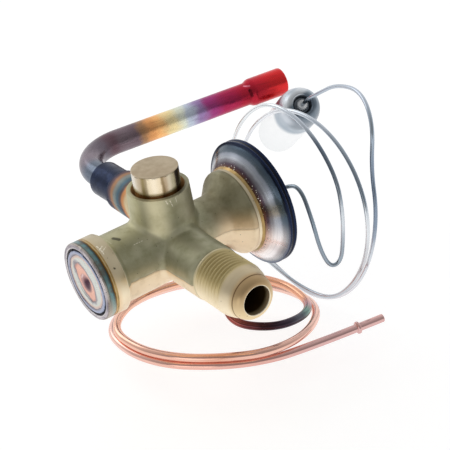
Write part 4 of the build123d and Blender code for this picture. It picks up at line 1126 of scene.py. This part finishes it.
@dataclass
class EqualizerTube:
    """The coiled copper equalizer tube with its bead and open end."""

    radius: float = 1.6
    wall: float = 0.6
    bead_r: float = 2.4
    bead_from_end: float = 10.9

    def build(self) -> None:
        """Makes and dresses the tube."""
        line = EQUALIZER.line(0.6)
        total = float(reach_along(line)[-1])
        bead = total - self.bead_from_end
        inner = self.radius - self.wall
        rows = [(0.0, inner)] + along_line(0.0, bead - 0.9, self.radius, 0.6)
        for share in np.linspace(-1, 1, 9):
            swell = (self.bead_r - self.radius) * (1 - share**4)
            rows.append((bead + share * 0.8, self.radius + swell))
        rows += along_line(bead + 0.9, total - 0.15, self.radius, 0.6)
        rows += [(total, self.radius - 0.12), (total, inner + 0.1), (total - 0.1, inner)]
        rows += along_line(total - 1, 0.0, inner, 1.5)
        tube = swept("equalizer_coil", line, rows, 28)
        LOG.info("equalizer tube length %.1f mm", total)
        stops = (
            (0, "5a4038"), (22, "8a5c48"), (29, "a05a52"), (35, "6a3c3e"), (41, "40282c"),
            (49, "453a46"), (56, "6a6c74"), (60, "84a298"), (64, "c8a0a4"), (70, "f2b494"),
            (150, "f8c4ac"), (205, "f6c2ae"), (216, "eab098"), (228, "f4c2b0"), (270, "f8cec0"),
            (370, "f8cec2"), (415, "f2beae"), (440, "e8b4a8"), (470, "deb4b0"),
        )
        metal = TubeMetal("copper", stops, total, 1.0, 0.16, 1.5, 0.2)
        dress(tube, metal.make(), "copper", "equalizer_tube")


@dataclass
class CapillaryTube:
    """The thin steel capillary that loops from the head to the bulb."""

    radius: float = 0.8

    def build(self) -> None:
        """Makes and dresses the tube."""
        line = CAPILLARY.line(0.6)
        total = float(reach_along(line)[-1])
        rows = [(0.0, 0.02)] + along_line(0.0, total, self.radius, 0.6) + [(total, 0.02)]
        tube = swept("capillary_wire", line, rows, 20)
        LOG.info("capillary length %.1f mm", total)
        # Painted light and shade: the wire is one steel, and its stops make it lighter and darker along its
        # length where it catches light and lies in shade
        stops = (
            (0, "98a4ae"), (30, "8a98a4"), (58, "a0aab4"), (70, "d8dee4"), (82, "98a4b0"),
            (98, "7c8a9a"), (112, "c4ccd6"), (140, "eef2f4"), (225, "dfe4ea"), (240, "b4bcc6"),
            (290, "d4d4d8"), (304, "e4e8ec"), (316, "98a6b4"), (332, "a8b4c0"), (350, "c4ccd6"),
            (380, "eef0f4"), (470, "c8ccd2"), (505, "e6e2e6"), (530, "dce0e6"), (548, "8c9aac"),
            (570, "8896a8"), (582, "b0bcc8"), (600, "c0c8d4"), (650, "a8b4c0"),
        )
        metal = TubeMetal("capillary_steel", stops, total, 1.0, 0.18, 3.0)
        dress(tube, metal.make(), "capillary_steel", "capillary_tube")


@dataclass
class SensingBulb:
    """The sealed bulb, dished round its bright nipple."""

    def finish(self) -> Material:
        """Satin metal with painted light and shade: painted grey-blue shade at the crown and painted
        near-white light along the barrel.
        """
        graph = Graph("bulb_satin")
        along = plain(BULB.basis()[0])
        offset = graph.vector("SUBTRACT", graph.place, BULB.origin)
        station = graph.vector("DOT_PRODUCT", offset, along)
        cloud = graph.noise(0.3, 4)
        # Painted light and shade by station: grey bands over the crown, near white along the barrel
        barrel = graph.bands(graph.plus(station, graph.fade(cloud, 0, 1, -1, 1)), 0, 58, (
            (0, "76828e"), (1.2, "a8b2bc"), (4, "ced4dc"), (9, "b4bec8"), (13, "a8b4c0"),
            (19, "f8f9fa"), (58, "f2f4f5"),
        ))
        # Painted highlight on the crown's upper left, painted shade below the nipple, and the darkest painted
        # shade close round it
        lean = graph.vector("DOT_PRODUCT", offset, (-0.288, 0.662, 0.692))
        spoke = graph.vector("LENGTH", graph.vector("CROSS_PRODUCT", offset, along))
        crown = graph.fade(station, 6, 4)
        colour = graph.layers(
            barrel,
            ("f6f8fa", (lean, 2.0, 4.0, 0, 0.5), (lean, 7.5, 5.5), crown),
            ("5c6874", (lean, 0.0, -4.5, 0, 0.6), (station, 11, 6)),
            ("27303c", (spoke, 4.4, 3.2, 0, 0.75), crown),
        )
        height = graph.noise(1.2, 2)
        return graph.finish(colour, 1.0, (cloud, 0.3, 0.7, 0.28, 0.4), height, 0.004)

    def build(self) -> None:
        """Makes and dresses the bulb."""
        shell: Profile = [
            (2.6, 0, 0), (2.6, 3.2, 0.3), (0.6, 3.9, 0.5), (0.0, 4.6, 0.5), (0.7, 6.2, 1.4),
            (2.6, 7.7, 1.8), (6.4, 8.75, 2.2), (12.0, 9.0, 2.0), (53.4, 9.0, 1.4), (56.2, 8.0, 1.4),
            (57.8, 5.4, 1.4), (58.0, 3.2, 1.0), (58.0, 0, 0),
        ]
        piece = turned("bulb_shell", BULB, shell, False, 128, 7)
        dress(piece, self.finish(), "bulb_metal", "bulb")


class Role(Enum):
    """Which plain finish a CAD node that stays takes."""

    BRAZE = PlainMetal("braze_alloy", "b89a66", 0.9, 0.35, 1.2)
    WELD = PlainMetal("weld", "151722", 0.85, 0.28, 1.0)
    SLEEVE = PlainMetal("sleeve_steel", "202c48", 0.85, 0.3, 1.5)
    STEEL = PlainMetal("inner_steel", "b9b9bb", 1.0, 0.28, 2.0)
    BRASS = PlainMetal("screw_brass", "c9ab66", 1.0, 0.3, 2.0)
    BRIGHT = PlainMetal("nipple_steel", "f4f6f8", 0.6, 0.3, 2.0)
    FITTING = PlainMetal("copper_fitting", "8c5f48", 1.0, 0.32, 1.5)
    SEAL = PlainMetal("seal_rubber", "16161a", 0.0, 0.6, 1.5)


CARRIED: dict[Role, tuple[str, ...]] = {
    Role.BRAZE: (
        "plug_braze_ring", "cap_braze_ring", "head_braze_ring",
        "outlet_braze_ring", "sleeve_braze_ring", "equalizer_braze_ring",
    ),
    Role.WELD: ("rim_weld_bead", "cap_weld_bead"),
    Role.SLEEVE: ("outlet_sleeve",),
    Role.STEEL: ("spring_seat", "valve_cone", "orifice_seat", "push_rod", "thrust_plate", "diaphragm"),
    Role.BRASS: ("adjusting_screw", "seal_retainer"),
    Role.BRIGHT: ("bulb_nipple", "capillary_ferrule"),
    Role.FITTING: ("equalizer_nipple",),
    Role.SEAL: ("rod_seal",),
}


@dataclass
class SuperheatSpring:
    """The superheat spring, copied as modelled; in the valve it shortens as the valve train moves towards the
    adjusting screw.
    """

    end_turn: float = 1.0
    smooth: float = 38.0
    finish: PlainMetal = PlainMetal("spring_steel", "a7a7ac", 1.0, 0.25, 2.5)

    def build(self) -> None:
        """Copies the CAD spring, tidies and paints the copy, and hides the CAD node."""
        piece = linked("superheat_coil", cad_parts["superheat_spring"].data.copy())
        tidy_mesh(piece, self.smooth)
        paint(piece, self.finish.make())
        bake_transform(piece)
        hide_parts("superheat_spring")


def dress_carried() -> None:
    """Gives every CAD node that stays its finish."""
    for role, names in CARRIED.items():
        finish = role.value.make()
        for name in names:
            paint(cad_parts[name], finish)
        LOG.info("%s: %d CAD nodes", finish.name, len(names))


@dataclass
class Studio:
    """The camera, the floor and the light.

    Attributes:
        eye: The camera's place in mm from the barrel's centre.
        right, up, back: The camera's directions, as they were fitted.
        lens: Its focal length in mm.
        sensor: Its film width in mm.
        floor: The floor's height in m.
        floor_half: Half its side in m.
        floor_glow: How bright it shines by itself.
        floor_grey: How much light it gives back.
        near_level: The tent's brightness behind the camera.
        far_level: Its brightness behind the valve.
        away: The level direction from the camera to the valve.
        aim: Where the soft boxes point, in mm from the barrel's centre.
        boxes: Each soft box's name, place in m, side in m and power in W.
    """

    eye: Point = (-175.5, -318.9, 217.7)
    right: Point = (0.798, -0.589, -0.126)
    up: Point = (0.391, 0.347, 0.852)
    back: Point = (-0.458, -0.730, 0.507)
    lens: float = 96.0
    sensor: float = 36.0
    floor: float = -0.0615
    floor_half: float = 3.0
    floor_glow: float = 0.67
    floor_grey: float = 0.55
    near_level: float = 0.34
    far_level: float = 0.95
    away: Point = (0.55, 0.83, 0.0)
    aim: Point = (15.0, 0.0, 0.0)
    boxes: tuple[tuple[str, Point, float, float], ...] = (
        ("far_box", (-0.2, 0.8, 0.55), 0.5, 0.8),
        ("low_box", (-0.5, -0.2, 0.02), 0.3, 0.25),
    )

    def camera(self) -> None:
        """Sets the camera that was fitted to the photograph.

        Its three directions are made exactly square to each other by the product of the two turns in
        their singular value decomposition.
        """
        data = bpy.data.cameras.new("camera")
        data.lens = self.lens
        data.sensor_width = self.sensor
        data.clip_start = 0.01
        data.clip_end = 20
        left, _, turn = np.linalg.svd(np.array([self.right, self.up, self.back]))
        matrix = np.eye(4)
        matrix[:3, :3] = (left @ turn).T
        matrix[:3, 3] = (CENTRE + np.array(self.eye)) * MM
        camera = linked("camera", data)
        camera.matrix_world = Matrix(matrix.tolist())
        bpy.context.scene.camera = camera

    def stage(self) -> None:
        """Lays a pale floor that stays white to the camera, apart from the valve's soft shadow."""
        corners = [(x * self.floor_half, y * self.floor_half, self.floor) for x, y in SQUARE]
        mesh = bpy.data.meshes.new("floor")
        mesh.from_pydata(corners, [], [(0, 1, 2, 3)])
        floor = linked("floor", mesh)
        material = bpy.data.materials.new("floor")
        material.use_nodes = True
        tree = Tree(material.node_tree)
        paper = tree.node("BsdfDiffuse", (self.floor_grey,) * 3)
        seen = tree.node("AddShader", tree.node("Emission", None, self.floor_glow), paper)
        camera_ray = tree.node("LightPath").outputs["Is Camera Ray"]
        tree.node("OutputMaterial", tree.node("MixShader", camera_ray, tree.node("Emission"), seen))
        paint(floor, material)

    def world(self) -> None:
        """A white tent that is dimmer overhead and dimmest behind the camera.

        Above the horizon its level goes from near to far with the dot product of a ray and the direction
        away from the camera; below the horizon it is 1. The camera itself sees plain white.
        """
        world = bpy.data.worlds.new("tent")
        bpy.context.scene.world = world
        world.use_nodes = True
        tree = Tree(world.node_tree)
        toward = tree.node("TexCoord").outputs["Generated"]
        ahead = tree.vector("DOT_PRODUCT", toward, self.away)
        above = tree.node("MapRange", ahead, -0.7, 0.9, self.near_level, self.far_level)
        ground = tree.fade(tree.split(toward)[2], 0.2, -0.05)
        level = tree.node("Mix", ground, None, above, 1.0)
        white = tree.node("Background", (1.0, 1.0, 1.0))
        tent = tree.node("Background", (1.0, 1.0, 1.0), level)
        camera_ray = tree.node("LightPath").outputs["Is Camera Ray"]
        tree.node("OutputWorld", tree.node("MixShader", camera_ray, tent, white))

    def lights(self) -> None:
        """Soft boxes: one behind the valve and a weak one low at the left."""
        aim = Vector(plain((CENTRE + np.array(self.aim)) * MM))
        for name, place, size, power in self.boxes:
            data = bpy.data.lights.new(name, "AREA")
            data.shape = "SQUARE"
            data.size = size
            data.energy = power
            light = linked(name, data)
            light.location = place
            light.rotation_euler = (aim - Vector(place)).to_track_quat("-Z", "Y").to_euler()

    def build(self) -> None:
        """Sets up everything round the valve."""
        self.camera()
        self.stage()
        self.world()
        self.lights()
        bpy.context.scene.view_settings.view_transform = "Standard"


def main() -> None:
    """Builds the studio and every piece, then gives the CAD nodes that stay their finishes."""
    logging.basicConfig(level=logging.INFO, format="%(message)s")
    Studio().build()
    ValveBody().build()
    BossPlug().build()
    EndCap().build()
    PowerHead().build()
    OutletTube().build()
    EqualizerTube().build()
    CapillaryTube().build()
    SensingBulb().build()
    SuperheatSpring().build()
    dress_carried()


if __name__ == "__main__":
    main()
